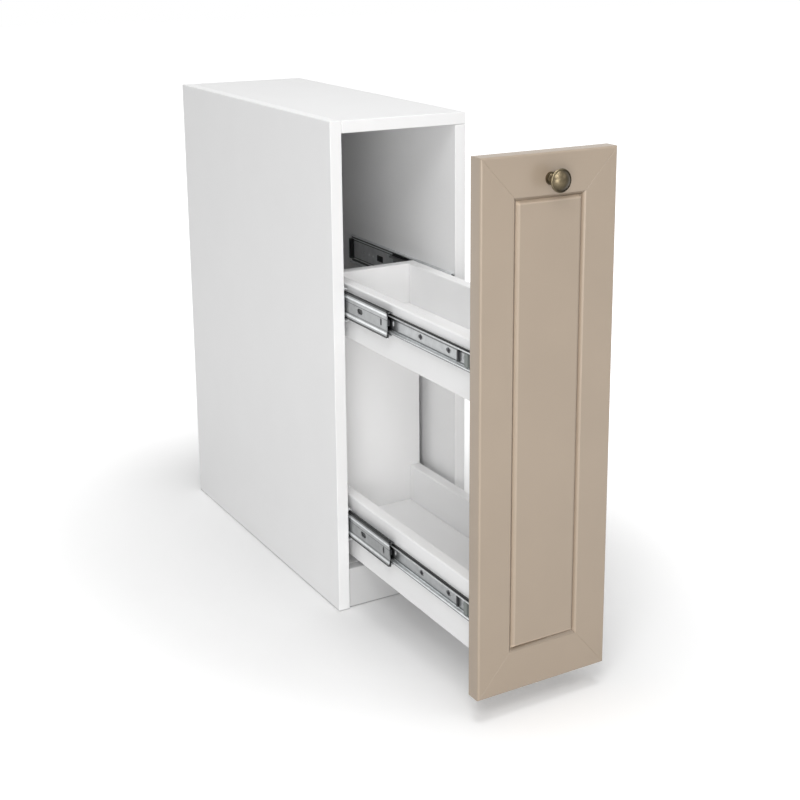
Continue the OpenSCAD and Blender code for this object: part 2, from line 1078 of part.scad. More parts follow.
module intermediate_member() {
    low = intermediate_web_u - 0.5;
    high = intermediate_web_u + intermediate_web_recess + slide_sheet + 0.5;
    difference() {
        above_and_below()
            extrude_y(intermediate_front_y, intermediate_length)
                intermediate_half();
        web_cut(intermediate_front_y + intermediate_slot_at, low, high)
            slot_shape_upright(9, 3.6);
        for (step = [0, 1])
            web_cut(intermediate_front_y + intermediate_hole_at + step * intermediate_hole_step, low, high)
                slot_shape(14, 7);
    }
}

module slot_shape_upright(length, width) {
    rotate(90)
        slot_shape(length, width);
}

module drawer_member() {
    low = drawer_web_u - 0.5;
    high = slide_space + 0.5;
    difference() {
        union() {
            above_and_below()
                extrude_y(drawer_member_front_y, drawer_member_length)
                    drawer_member_half();
            rod_x(lever_pivot_radius + 1.4, lever_u + lever_thickness + lever_boss_gap, drawer_web_u + 0.2,
                drawer_member_front_y + lever_pivot_at, 0);
            rod_x(lever_pivot_radius, lever_u - 0.4, drawer_web_u,
                drawer_member_front_y + lever_pivot_at, 0);
        }
        for (at = drawer_screw_at)
            web_cut(drawer_member_front_y + at, low, high)
                slot_shape(10.5, 2 * wood_screw_radius + 0.6);
        web_cut(drawer_member_front_y + drawer_slot_at, low, high)
            slot_shape_upright(7, 4);
        for (at = drawer_screw_at)
            translate([slide_space, drawer_member_front_y + at, 0])
                rotate([0, -90, 0])
                    countersink();
        web_cut(drawer_member_front_y + stop_rib_at, low, high)
            square([stop_rib_length, 2 * stop_rib_half_height], center = true);
        rod_x(1.9, low, high, drawer_member_front_y + drawer_small_hole_at, 0);
    }
}

// Centre of each ball of a row, counted from the cage's front end.
function ball_at(cage_length, count, pitch, index) =
    cage_length / 2 + (index - (count - 1) / 2) * pitch;

module outer_ball_cage() {
    plate_low = outer_cage_u;
    plate_high = outer_cage_u + outer_cage_sheet;
    near_chord = sqrt(pow(ball_radius, 2) - pow(outer_ball_u - plate_high, 2));
    difference() {
        block(
            [plate_low, outer_cage_front_y, -outer_cage_top],
            [plate_high, outer_cage_front_y + outer_cage_length, outer_cage_top]
        );
        for (index = [0 : outer_ball_count - 1])
            for (level = [-1, 1])
                rod_x(near_chord + 0.1, plate_low - 1, plate_high + 1,
                    outer_cage_front_y + ball_at(outer_cage_length, outer_ball_count, outer_ball_pitch, index),
                    level * outer_ball_z);
        web_cut(outer_cage_front_y + outer_cage_length / 2, plate_low - 1, plate_high + 1)
            square([outer_cage_length - 2 * outer_cage_window_margin, outer_cage_window_height], center = true);
    }
    for (index = [0 : outer_ball_count - 1])
        for (level = [-1, 1])
            translate([
                outer_ball_u,
                outer_cage_front_y + ball_at(outer_cage_length, outer_ball_count, outer_ball_pitch, index),
                level * outer_ball_z
            ])
                sphere(r = ball_radius);
}

module inner_ball_cage() {
    difference() {
        above_and_below()
            extrude_y(inner_cage_front_y, inner_cage_length)
                inner_cage_half();
        for (index = [0 : inner_ball_count - 1])
            for (level = [-1, 1])
                rod_z(race_radius, inner_ball_u,
                    inner_cage_front_y + ball_at(inner_cage_length, inner_ball_count, inner_ball_pitch, index),
                    level * inner_ball_z - 1, level * inner_ball_z + 1);
    }
}

module inner_cage_half() {
    half_flange = inner_cage_sheet / 2;
    flange_end = inner_ball_u + race_radius + 0.5;
    square_reach = inner_ball_z + half_flange;
    translate([inner_cage_u, 0])
        square([inner_cage_sheet, square_reach]);
    translate([inner_cage_u, inner_ball_z - half_flange])
        square([flange_end - inner_cage_u, 2 * half_flange]);
}

module inner_balls() {
    for (index = [0 : inner_ball_count - 1])
        for (level = [-1, 1])
            translate([
                inner_ball_u,
                inner_cage_front_y + ball_at(inner_cage_length, inner_ball_count, inner_ball_pitch, index),
                level * inner_ball_z
            ])
                sphere(r = ball_radius);
}

// The lever turns on a rivet of the drawer member. Its nose is at the front.
module release_lever() {
    pivot_y = drawer_member_front_y + lever_pivot_at;
    difference() {
        translate([lever_u, pivot_y, 0])
            rotate([90, 0, 90])
                linear_extrude(lever_thickness)
                    lever_shape();
        rod_x(lever_pivot_radius + slack, lever_u - 1, lever_u + lever_thickness + 1, pivot_y, 0);
    }
}

module lever_shape() {
    nose = 5;
    circle(r = lever_half_height + 0.6);
    polygon([
        [-lever_arm_front, lever_half_height + 1],
        [-lever_arm_front, -lever_half_height + 1],
        [-lever_arm_front + nose, -lever_half_height + 1],
        [lever_arm_rear, -lever_half_height + 1.4],
        [lever_arm_rear, lever_half_height - 1.4],
        [-lever_arm_front + nose + 2, lever_half_height - 1],
        [-lever_arm_front + nose, lever_half_height + 1]
    ]);
}

module slide_to_cabinet_screws() {
    color("silver")
        at_both_sides()
            for (z = [upper_slide_z, lower_slide_z])
                on_left(z)
                    for (at = cabinet_screw_at)
                        translate([0, member_front_y + at, 0])
                            rotate([0, 90, 0])
                                countersunk_screw();
}

// The cone that a screw's head fills in a member's sheet.
module countersink() {
    cylinder(h = slide_sheet, r1 = countersunk_radius - slide_sheet + joint_clearance,
        r2 = countersunk_radius + joint_clearance);
}

// A countersunk screw whose head fills the member's sheet, with the shank at -Z.
module countersunk_screw() {
    difference() {
        union() {
            cylinder(h = slide_sheet, r1 = countersunk_radius - slide_sheet, r2 = countersunk_radius);
            translate([0, 0, -slide_screw_length])
                cylinder(h = slide_screw_length, r = wood_screw_radius);
        }
        translate([0, 0, slide_sheet - recess_depth])
            cross_recess(recess_depth);
    }
}

module slide_to_drawer_screws() {
    color("dimgray")
        at_both_sides()
            for (z = [upper_slide_z, lower_slide_z])
                on_left(z)
                    for (at = drawer_screw_at)
                        translate([slide_space, drawer_member_front_y + at, 0])
                            rotate([0, -90, 0])
                                countersunk_screw();
}

module slide_rear_bumpers() {
    color("black")
        at_both_sides()
            for (z = [upper_slide_z, lower_slide_z])
                on_left(z) {
                    rear_bumper();
                    window_plug();
                }
}

// A block that fills the rear end of the cabinet member's channel.
module rear_bumper() {
    block(
        [slide_sheet, member_rear_y - rear_bumper_length, -15],
        [slide_sheet + 4.6, member_rear_y, 15]
    );
}

// A plug flush with the cabinet member's web, which fills its window.
module window_plug() {
    plug_y = member_front_y + cabinet_window_at;
    block(
        [0, plug_y - cabinet_window_length / 2, -cabinet_window_height / 2],
        [slide_sheet, plug_y + cabinet_window_length / 2, cabinet_window_height / 2]
    );
}

module slide_front_stops() {
    color("black")
        at_both_sides()
            for (z = [upper_slide_z, lower_slide_z])
                on_left(z) {
                    front_stop();
                    stop_rib();
                }
}

// A block against the drawer member's web, between its raceways.
module front_stop() {
    stop_y = drawer_member_front_y + front_stop_at;
    block(
        [drawer_web_u - front_stop_depth, stop_y, -front_stop_half_height],
        [drawer_web_u, stop_y + front_stop_length, front_stop_half_height]
    );
}

// A rib keyed through the drawer member's web, which cushions the intermediate member.
module stop_rib() {
    rib_y = drawer_member_front_y + stop_rib_at;
    block(
        [drawer_web_u - stop_rib_depth, rib_y - stop_rib_length / 2, -stop_rib_half_height],
        [slide_space, rib_y + stop_rib_length / 2, stop_rib_half_height]
    );
}

module upper_left_cabinet_member() {
    color("lightgray")
        on_left(upper_slide_z)
            cabinet_member();
}

module upper_left_intermediate_member() {
    color("lightgray")
        on_left(upper_slide_z)
            intermediate_member();
}

module upper_left_drawer_member() {
    color("lightgray")
        on_left(upper_slide_z)
            drawer_member();
}

module upper_left_outer_ball_cage() {
    color("darkgray")
        on_left(upper_slide_z)
            outer_ball_cage();
}

module upper_left_inner_ball_cage() {
    color("black")
        on_left(upper_slide_z)
            inner_ball_cage();
}

module upper_left_inner_balls() {
    color("silver")
        on_left(upper_slide_z)
            inner_balls();
}

module upper_left_release_lever() {
    color("black")
        on_left(upper_slide_z)
            release_lever();
}

module upper_right_cabinet_member() {
    color("lightgray")
        on_right(upper_slide_z)
            cabinet_member();
}

module upper_right_intermediate_member() {
    color("lightgray")
        on_right(upper_slide_z)
            intermediate_member();
}

module upper_right_drawer_member() {
    color("lightgray")
        on_right(upper_slide_z)
            drawer_member();
}

module upper_right_outer_ball_cage() {
    color("darkgray")
        on_right(upper_slide_z)
            outer_ball_cage();
}

module upper_right_inner_ball_cage() {
    color("black")
        on_right(upper_slide_z)
            inner_ball_cage();
}

module upper_right_inner_balls() {
    color("silver")
        on_right(upper_slide_z)
            inner_balls();
}

module upper_right_release_lever() {
    color("black")
        on_right(upper_slide_z)
            release_lever();
}

module lower_left_cabinet_member() {
    color("lightgray")
        on_left(lower_slide_z)
            cabinet_member();
}

module lower_left_intermediate_member() {
    color("lightgray")
        on_left(lower_slide_z)
            intermediate_member();
}

module lower_left_drawer_member() {
    color("lightgray")
        on_left(lower_slide_z)
            drawer_member();
}

module lower_left_outer_ball_cage() {
    color("darkgray")
        on_left(lower_slide_z)
            outer_ball_cage();
}

module lower_left_inner_ball_cage() {
    color("black")
        on_left(lower_slide_z)
            inner_ball_cage();
}

module lower_left_inner_balls() {
    color("silver")
        on_left(lower_slide_z)
            inner_balls();
}

module lower_left_release_lever() {
    color("black")
        on_left(lower_slide_z)
            release_lever();
}

module lower_right_cabinet_member() {
    color("lightgray")
        on_right(lower_slide_z)
            cabinet_member();
}

module lower_right_intermediate_member() {
    color("lightgray")
        on_right(lower_slide_z)
            intermediate_member();
}

module lower_right_drawer_member() {
    color("lightgray")
        on_right(lower_slide_z)
            drawer_member();
}

module lower_right_outer_ball_cage() {
    color("darkgray")
        on_right(lower_slide_z)
            outer_ball_cage();
}

module lower_right_inner_ball_cage() {
    color("black")
        on_right(lower_slide_z)
            inner_ball_cage();
}

module lower_right_inner_balls() {
    color("silver")
        on_right(lower_slide_z)
            inner_balls();
}

module lower_right_release_lever() {
    color("black")
        on_right(lower_slide_z)
            release_lever();
}

left_side_panel();
right_side_panel();
top_panel();
bottom_panel();
plinth_board();
back_panel();
cam_locks();
connecting_bolts();
carcass_dowels();
left_stile();
right_stile();
top_rail();
bottom_rail();
centre_panel();
knob();
knob_screw();
tall_back_board();
upper_left_drawer_side();
upper_right_drawer_side();
upper_drawer_floor();
upper_drawer_front_board();
lower_left_drawer_side();
lower_right_drawer_side();
lower_drawer_floor();
lower_drawer_front_board();
drawer_dowels();
front_fixing_screws();
slide_to_cabinet_screws();
slide_to_drawer_screws();
slide_rear_bumpers();
slide_front_stops();
upper_left_cabinet_member();
upper_left_intermediate_member();
upper_left_drawer_member();
upper_left_outer_ball_cage();
upper_left_inner_ball_cage();
upper_left_inner_balls();
upper_left_release_lever();
upper_right_cabinet_member();
upper_right_intermediate_member();
upper_right_drawer_member();
upper_right_outer_ball_cage();
upper_right_inner_ball_cage();
upper_right_inner_balls();
upper_right_release_lever();
lower_left_cabinet_member();
lower_left_intermediate_member();
lower_left_drawer_member();
lower_left_outer_ball_cage();
lower_left_inner_ball_cage();
lower_left_inner_balls();
lower_left_release_lever();
lower_right_cabinet_member();
lower_right_intermediate_member();
lower_right_drawer_member();
lower_right_outer_ball_cage();
lower_right_inner_ball_cage();
lower_right_inner_balls();
lower_right_release_lever();
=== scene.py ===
"""The looks of a narrow kitchen base cabinet with a pull-out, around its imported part.

Metres, +Z up, the front faces -Y. The boards, the front's members and the knob are
new meshes in the places of their nodes. The slides, balls and fasteners keep theirs.
"""

from __future__ import annotations

import logging
import math
from dataclasses import dataclass, field
from enum import Enum

import bmesh
import bpy
from mathutils import Matrix, Vector

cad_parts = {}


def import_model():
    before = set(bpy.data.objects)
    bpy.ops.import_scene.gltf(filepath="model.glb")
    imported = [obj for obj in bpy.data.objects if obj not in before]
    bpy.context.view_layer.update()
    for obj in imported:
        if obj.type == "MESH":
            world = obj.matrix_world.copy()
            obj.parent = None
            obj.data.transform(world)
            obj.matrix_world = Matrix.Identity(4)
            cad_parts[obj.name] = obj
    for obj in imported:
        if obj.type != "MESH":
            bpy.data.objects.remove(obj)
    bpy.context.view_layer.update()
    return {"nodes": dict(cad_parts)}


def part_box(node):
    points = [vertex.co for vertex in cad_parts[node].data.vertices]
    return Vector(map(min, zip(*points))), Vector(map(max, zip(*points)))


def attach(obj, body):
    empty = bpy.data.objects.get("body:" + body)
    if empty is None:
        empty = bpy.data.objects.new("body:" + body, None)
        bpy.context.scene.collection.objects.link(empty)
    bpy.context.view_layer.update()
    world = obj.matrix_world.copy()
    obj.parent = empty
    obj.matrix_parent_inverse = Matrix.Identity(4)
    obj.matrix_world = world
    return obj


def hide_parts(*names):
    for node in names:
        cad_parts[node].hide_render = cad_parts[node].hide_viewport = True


LOG = logging.getLogger("cabinet_looks")
MM = 0.001
# How far a point may lie from an edge or plane that it belongs to
TOLERANCE = 0.01 * MM
# Edges whose faces meet at more than these angles, in degrees, are rounded or shaded sharp
ROUNDED_ANGLE = 60.0
SHARP_ANGLE = 32.0
X_AXIS = Vector((1, 0, 0))
Y_AXIS = Vector((0, 1, 0))
Z_AXIS = Vector((0, 0, 1))
EVEN = Vector((1, 1, 1))

Color = tuple[float, float, float]
# Grey levels that a colour is multiplied by, each at a place in millimetres, in rising order
Tones = tuple[tuple[float, float], ...]
# Tones along X (0), Y (1) or Z (2)
Line = tuple[int, Tones]
# What a roughness gains at the low and the high end of a cloud
Spread = tuple[float, float]
Edges = list[bmesh.types.BMEdge]
Mesh = bmesh.types.BMesh
Material = bpy.types.Material
Object = bpy.types.Object
Socket = bpy.types.NodeSocket
Value = Socket | Vector | float | tuple[float, ...]


class Face(Enum):
    """A face of an upright box, named as seen from in front of the cabinet."""

    LEFT = (-1, 0, 0)
    RIGHT = (1, 0, 0)
    FRONT = (0, -1, 0)
    REAR = (0, 1, 0)
    UNDER = (0, 0, -1)
    OVER = (0, 0, 1)

    def normal(self) -> Vector:
        """The face's outward direction."""
        return Vector(self.value)


class Level(Enum):
    """The pull-out's two drawer boxes."""

    UPPER = "upper"
    LOWER = "lower"


class Side(Enum):
    """The two sides of the cabinet."""

    LEFT = "left"
    RIGHT = "right"


@dataclass(frozen=True)
class Span:
    """An upright box, from its low corner to its high corner."""

    low: Vector
    high: Vector

    @staticmethod
    def of_node(node: str) -> Span:
        """The box of a node at rest."""
        return Span(*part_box(node))

    @property
    def size(self) -> Vector:
        """The box's extents."""
        return self.high - self.low

    @property
    def centre(self) -> Vector:
        """The box's middle point."""
        return (self.low + self.high) / 2

    def point_on(self, face: Face) -> Vector:
        """The middle point of one face."""
        halves = [n * s / 2 for n, s in zip(face.value, self.size)]
        return self.centre + Vector(halves)

    def corner_towards(self, direction: Vector) -> Vector:
        """The corner that lies furthest in a direction, and low where it has no part."""
        ends = zip(self.low, self.high, direction)
        return Vector([high if part > 0 else low for low, high, part in ends])


def shade(color: Color, factor: float) -> Color:
    """A colour made lighter or darker, at most 1 in each channel."""
    return tuple(min(1.0, c * factor) for c in color)


def moved(stops: Tones, place: float) -> Tones:
    """Tones about 0 moved to a place in metres."""
    return tuple((place / MM + at, level) for at, level in stops)


class NodeSheet:
    """A node tree in the making."""

    def __init__(self, tree: bpy.types.NodeTree) -> None:
        """Takes hold of the tree of a material or of the world."""
        self.nodes = tree.nodes
        self.links = tree.links

    def node(self, kind: str, values: dict[str | int, Value], **options: object) -> bpy.types.Node:
        """Adds a shader node.

        Args:
            kind: The node's type.
            values: What is set or linked, by the input's name or number.
            **options: The node's own settings, which are made first.

        Returns:
            The node.
        """
        node = self.nodes.new(f"ShaderNode{kind}")
        for option, choice in options.items():
            setattr(node, option, choice)
        for name, value in values.items():
            if isinstance(value, Socket):
                self.links.new(value, node.inputs[name])
            else:
                node.inputs[name].default_value = value
        return node

    def place(self, scale: Vector = EVEN, centre: Vector = Vector()) -> Socket:
        """Object coordinates, stretched about a centre.

        Args:
            scale: The stretch along X, Y and Z.
            centre: The point that becomes the origin.

        Returns:
            The mapped coordinates.
        """
        source = self.node("TexCoord", {}).outputs["Object"]
        location = Vector([-c * s for c, s in zip(centre, scale)])
        values = {"Vector": source, "Location": location, "Scale": scale}
        return self.node("Mapping", values).outputs["Vector"]

    def along(self, axis: int) -> Socket:
        """One of the plain object coordinates."""
        return self.node("SeparateXYZ", {"Vector": self.place()}).outputs[axis]

    def radius(self, place: Socket) -> Socket:
        """The distance of mapped coordinates from their origin."""
        return self.node("VectorMath", {0: place}, operation="LENGTH").outputs["Value"]

    def sum_up(self, operation: str, first: Socket, second: Socket | float) -> Socket:
        """A sum in one operation of Blender's Math node."""
        return self.node("Math", {0: first, 1: second}, operation=operation).outputs["Value"]

    def noise(self, place: Socket, size: float, detail: float) -> Socket:
        """Soft noise with clouds of one size over mapped coordinates, from 0 to 1."""
        values = {"Vector": place, "Scale": 1 / size, "Detail": detail}
        return self.node("TexNoise", values).outputs["Fac"]

    def between(self, factor: Socket, low: float, high: float) -> Socket:
        """A factor from 0 to 1 mapped to a range of values."""
        values = {"Value": factor, "To Min": low, "To Max": high}
        return self.node("MapRange", values).outputs["Result"]

    def blend(self, factor: Socket | float, first: Socket, second: Socket) -> Socket:
        """A colour between two others."""
        values = {"Factor": factor, "A": first, "B": second}
        return self.node("Mix", values, data_type="RGBA").outputs["Result"]

    def filter(self, first: Socket, second: Socket) -> Socket:
        """The product of two colours."""
        values = {"Factor": 1.0, "A": first, "B": second}
        return self.node("Mix", values, data_type="RGBA", blend_type="MULTIPLY").outputs["Result"]

    def ramp(self, factor: Socket, stops: list[tuple[float, Color]]) -> Socket:
        """Colours along a factor.

        Args:
            factor: The value that picks the colour.
            stops: Positions with their linear colours, in order.

        Returns:
            The colour.
        """
        node = self.node("ValToRGB", {"Fac": factor})
        elements = node.color_ramp.elements
        while len(elements) < len(stops):
            elements.new(1.0)
        for element, (position, color) in zip(elements, stops):
            element.position = position
            element.color = (*color, 1.0)
        return node.outputs["Color"]

    def varied(
        self, cloud: Socket, color: Color, spread: float, low: float = 0.3, high: float = 0.7
    ) -> Socket:
        """A colour that is darker and lighter with a cloud.

        Args:
            cloud: The cloud, from 0 to 1.
            color: The mean colour.
            spread: The share by which it varies either way.
            low: The cloud's value at the darkest.
            high: The cloud's value at the lightest.

        Returns:
            The varied colour.
        """
        stops = [(low, shade(color, 1 - spread)), (high, shade(color, 1 + spread))]
        return self.ramp(cloud, stops)

    def tones(self, value: Socket, stops: Tones) -> Socket:
        """Grey levels along a value.

        Args:
            value: A place in metres.
            stops: The tones.

        Returns:
            The level as a colour.
        """
        low, high = stops[0][0], stops[-1][0]
        values = {"Value": value, "From Min": low * MM, "From Max": high * MM}
        share = self.node("MapRange", values).outputs["Result"]
        levels = [((at - low) / (high - low), (level,) * 3) for at, level in stops]
        return self.ramp(share, levels)

    def toned(self, color: Socket, value: Socket, stops: Tones) -> Socket:
        """A colour multiplied by tones along a value."""
        return self.filter(color, self.tones(value, stops))


class SurfaceSheet(NodeSheet):
    """A surface's material in the making."""

    def __init__(self, name: str, color: Color, roughness: float, metallic: float = 0.0) -> None:
        """Starts a material from its plain values.

        Args:
            name: The material's name.
            color: Its plain linear colour.
            roughness: Its plain roughness.
            metallic: 1 for bare metal and 0 for anything else.
        """
        self.material = bpy.data.materials.new(name)
        self.material.use_nodes = True
        super().__init__(self.material.node_tree)
        self.shader = self.nodes["Principled BSDF"]
        self.roughness = roughness
        self.material.diffuse_color = (*color, 1.0)
        self.set("Base Color", (*color, 1.0))
        self.set("Roughness", roughness)
        self.set("Metallic", metallic)

    def set(self, socket: str, value: float | tuple[float, ...]) -> None:
        """Sets one of the shader's own inputs."""
        self.shader.inputs[socket].default_value = value

    def feed(self, value: Socket, socket: str) -> None:
        """Links a value to one of the shader's inputs."""
        self.links.new(value, self.shader.inputs[socket])

    def finish(
        self, color: Socket, relief: Socket, depth: float, spread: Spread | None
    ) -> Material:
        """Feeds the shader and gives the material.

        Args:
            color: The colour.
            relief: The surface's height, from 0 to 1.
            depth: The relief's depth in metres.
            spread: What the roughness gains at the relief's low and high ends.

        Returns:
            The material.
        """
        self.feed(color, "Base Color")
        if spread:
            low, high = (self.roughness + gain for gain in spread)
            self.feed(self.between(relief, low, high), "Roughness")
        bump = self.node("Bump", {"Strength": 1.0, "Distance": depth, "Height": relief})
        self.feed(bump.outputs["Normal"], "Normal")
        return self.material


@dataclass(frozen=True)
class LaminateFinish:
    """Melamine facing, foil or an edge band: even colour with a fine pressed texture."""

    name: str
    color: Color
    roughness: float
    spread: Spread = (-0.06, 0.06)
    mottle: float = 0.006
    mottle_size: float = 60 * MM
    pore_size: float = 0.9 * MM
    pore_depth: float = 0.012 * MM
    pore_stretch: Vector = field(default_factory=EVEN.copy)
    gloss: float = 0.5
    # Painted shade and highlights, as tones along X, Y or Z
    lines: tuple[Line, ...] = ()
    # The place along Y behind which the surface has no tones
    lines_end: float = 10.0

    def material(self) -> Material:
        """Makes the facing's material.

        Returns:
            The material.
        """
        sheet = SurfaceSheet(self.name, self.color, self.roughness)
        sheet.set("Specular IOR Level", self.gloss)
        cloud = sheet.noise(sheet.place(), self.mottle_size, 4.0)
        color = sheet.varied(cloud, self.color, self.mottle)
        for axis, stops in self.lines:
            # Behind lines_end a place counts as a metre further on, past the last tone
            behind = sheet.sum_up("GREATER_THAN", sheet.along(1), self.lines_end)
            color = sheet.toned(color, sheet.sum_up("ADD", sheet.along(axis), behind), stops)
        pores = sheet.noise(sheet.place(self.pore_stretch), self.pore_size, 2.0)
        return sheet.finish(color, pores, self.pore_depth, self.spread)


@dataclass(frozen=True)
class SlideTones:
    """Painted highlights on the lips and painted shade in the raceways, creases and along the ball
    cage's run, on a member of the slides.
    """

    # Heights of the two slides' centre lines
    centres: tuple[float, float]
    # Painted highlights and shade upwards from a slide's centre line
    bands: Tones
    # Painted shade outwards along X on the top lip, which starts at this height over the line
    shelf: Tones = ()
    shelf_height: float = 8.4 * MM
    # Painted shade along Y
    cage_shade: Tones = ()

    def lay(self, sheet: NodeSheet, color: Socket) -> Socket:
        """Lays the painted highlights and shade over a colour.

        Args:
            sheet: The material in the making.
            color: The steel's own colour.

        Returns:
            The toned colour.
        """
        low, high = min(self.centres), max(self.centres)
        height = sheet.along(2)
        is_upper = sheet.sum_up("GREATER_THAN", height, (low + high) / 2)
        slide_step = sheet.sum_up("MULTIPLY", is_upper, high - low)
        over_low = sheet.sum_up("SUBTRACT", height, low)
        offset = sheet.sum_up("SUBTRACT", over_low, slide_step)
        color = sheet.toned(color, offset, self.bands)
        if self.cage_shade:
            color = sheet.toned(color, sheet.along(1), self.cage_shade)
        if self.shelf:
            # Under the lip a place counts as a metre further out, past the last tone
            below = sheet.sum_up("LESS_THAN", offset, self.shelf_height)
            across = sheet.sum_up("ABSOLUTE", sheet.along(0), 0.0)
            color = sheet.toned(color, sheet.sum_up("ADD", across, below), self.shelf)
        return color


@dataclass(frozen=True)
class SteelFinish:
    """Sheet steel, rolled along Y, with a thin zinc bloom."""

    name: str
    color: Color
    roughness: float
    spread: Spread = (-0.07, 0.09)
    metallic: float = 1.0
    bloom: float = 0.12
    bloom_size: float = 9 * MM
    streak: float = 0.08
    streak_share: float = 0.4
    streak_size: float = 0.7 * MM
    streak_depth: float = 0.006 * MM
    streak_stretch: Vector = field(default_factory=lambda: Vector((1, 0.03, 1)))
    tones: SlideTones | None = None

    def material(self) -> Material:
        """Makes the steel's material.

        Returns:
            The material.
        """
        sheet = SurfaceSheet(self.name, self.color, self.roughness, self.metallic)
        streaks = sheet.noise(sheet.place(self.streak_stretch), self.streak_size, 3.0)
        cloud = sheet.noise(sheet.place(), self.bloom_size, 4.0)
        dull = sheet.varied(cloud, self.color, self.bloom, 0.35, 0.65)
        color = sheet.blend(self.streak_share, dull, sheet.varied(streaks, self.color, self.streak))
        if self.tones:
            color = self.tones.lay(sheet, color)
        return sheet.finish(color, streaks, self.streak_depth, self.spread)


@dataclass(frozen=True)
class PlasticFinish:
    """Moulded plastic with a fine spark-eroded texture."""

    name: str
    color: Color
    roughness: float
    spread: Spread = (-0.08, 0.08)
    speckle: float = 0.2
    grain_size: float = 0.35 * MM
    grain_depth: float = 0.02 * MM

    def material(self) -> Material:
        """Makes the plastic's material.

        Returns:
            The material.
        """
        sheet = SurfaceSheet(self.name, self.color, self.roughness)
        grain = sheet.noise(sheet.place(), self.grain_size, 2.0)
        color = sheet.varied(grain, self.color, self.speckle)
        return sheet.finish(color, grain, self.grain_depth, self.spread)


@dataclass(frozen=True)
class StopFinish:
    """Black rubber ribs behind plated stops, which meet at a place along Y."""

    name: str
    rubber: Color
    plated: Color
    border: float
    roughness: float = 0.45
    spread: Spread = (-0.07, 0.07)
    rubber_speckle: float = 0.2
    plated_speckle: float = 0.1
    grain_size: float = 0.6 * MM
    grain_depth: float = 0.02 * MM

    def material(self) -> Material:
        """Makes the two-tone material.

        Returns:
            The material.
        """
        sheet = SurfaceSheet(self.name, self.rubber, self.roughness)
        grain = sheet.noise(sheet.place(), self.grain_size, 3.0)
        black = sheet.varied(grain, self.rubber, self.rubber_speckle)
        grey = sheet.varied(grain, self.plated, self.plated_speckle)
        behind = sheet.sum_up("GREATER_THAN", sheet.along(1), self.border)
        color = sheet.blend(behind, grey, black)
        return sheet.finish(color, grain, self.grain_depth, self.spread)


@dataclass(frozen=True)
class BeechFinish:
    """Turned beech with short dark flecks along the grain."""

    name: str
    color: Color
    fleck: Color
    roughness: float = 0.6
    grain_size: float = 1.2 * MM
    grain_depth: float = 0.03 * MM
    grain_stretch: Vector = field(default_factory=lambda: Vector((0.15, 1, 1)))

    def material(self) -> Material:
        """Makes the wood's material.

        Returns:
            The material.
        """
        sheet = SurfaceSheet(self.name, self.color, self.roughness)
        grain = sheet.noise(sheet.place(self.grain_stretch), self.grain_size, 4.0)
        color = sheet.ramp(grain, [(0.35, self.fleck), (0.6, self.color)])
        return sheet.finish(color, grain, self.grain_depth, None)


@dataclass(frozen=True)
class AgedBrassFinish:
    """Brass darkened with age and rubbed bright on its rim, around an axis along Y, with painted
    highlight at the upper left and painted shade at the lower right.
    """

    name: str
    bright: Color
    dark: Color
    axis: Vector
    rim_radius: float
    # Painted highlight at the upper left and painted shade at the lower right, about the axis
    painted_light: tuple[Line, ...] = (
        (0, ((-13.5, 1.3), (-8.0, 1.45), (-3.0, 1.1), (3.0, 0.6), (13.5, 0.35))),
        (2, ((-13.5, 0.55), (-6.0, 0.75), (2.0, 1.1), (8.0, 1.5), (13.5, 1.1))),
    )
    roughness: float = 0.32
    spread: Spread = (-0.08, 0.10)
    patina_share: float = 0.35
    patina_size: float = 2.5 * MM
    patina_depth: float = 0.02 * MM

    def material(self) -> Material:
        """Makes the brass's material.

        Returns:
            The material.
        """
        sheet = SurfaceSheet(self.name, self.dark, self.roughness, 1.0)
        across = sheet.radius(sheet.place(Vector((1, 0, 1)) / self.rim_radius, self.axis))
        worn_rim = shade(self.bright, 0.6)
        darkened = [(0.0, 1.25), (0.55, 1.0), (0.82, 0.8), (0.88, 0.4)]
        stops = [(place, shade(self.dark, level)) for place, level in darkened]
        rubbed = sheet.ramp(across, [*stops, (0.93, worn_rim), (1.0, worn_rim)])
        cloud = sheet.noise(sheet.place(), self.patina_size, 5.0)
        patina = sheet.ramp(cloud, [(0.35, shade(self.dark, 0.55)), (0.7, shade(self.dark, 1.3))])
        color = sheet.blend(self.patina_share, rubbed, patina)
        for axis, stops in self.painted_light:
            color = sheet.toned(color, sheet.along(axis), moved(stops, self.axis[axis]))
        return sheet.finish(color, cloud, self.patina_depth, self.spread)


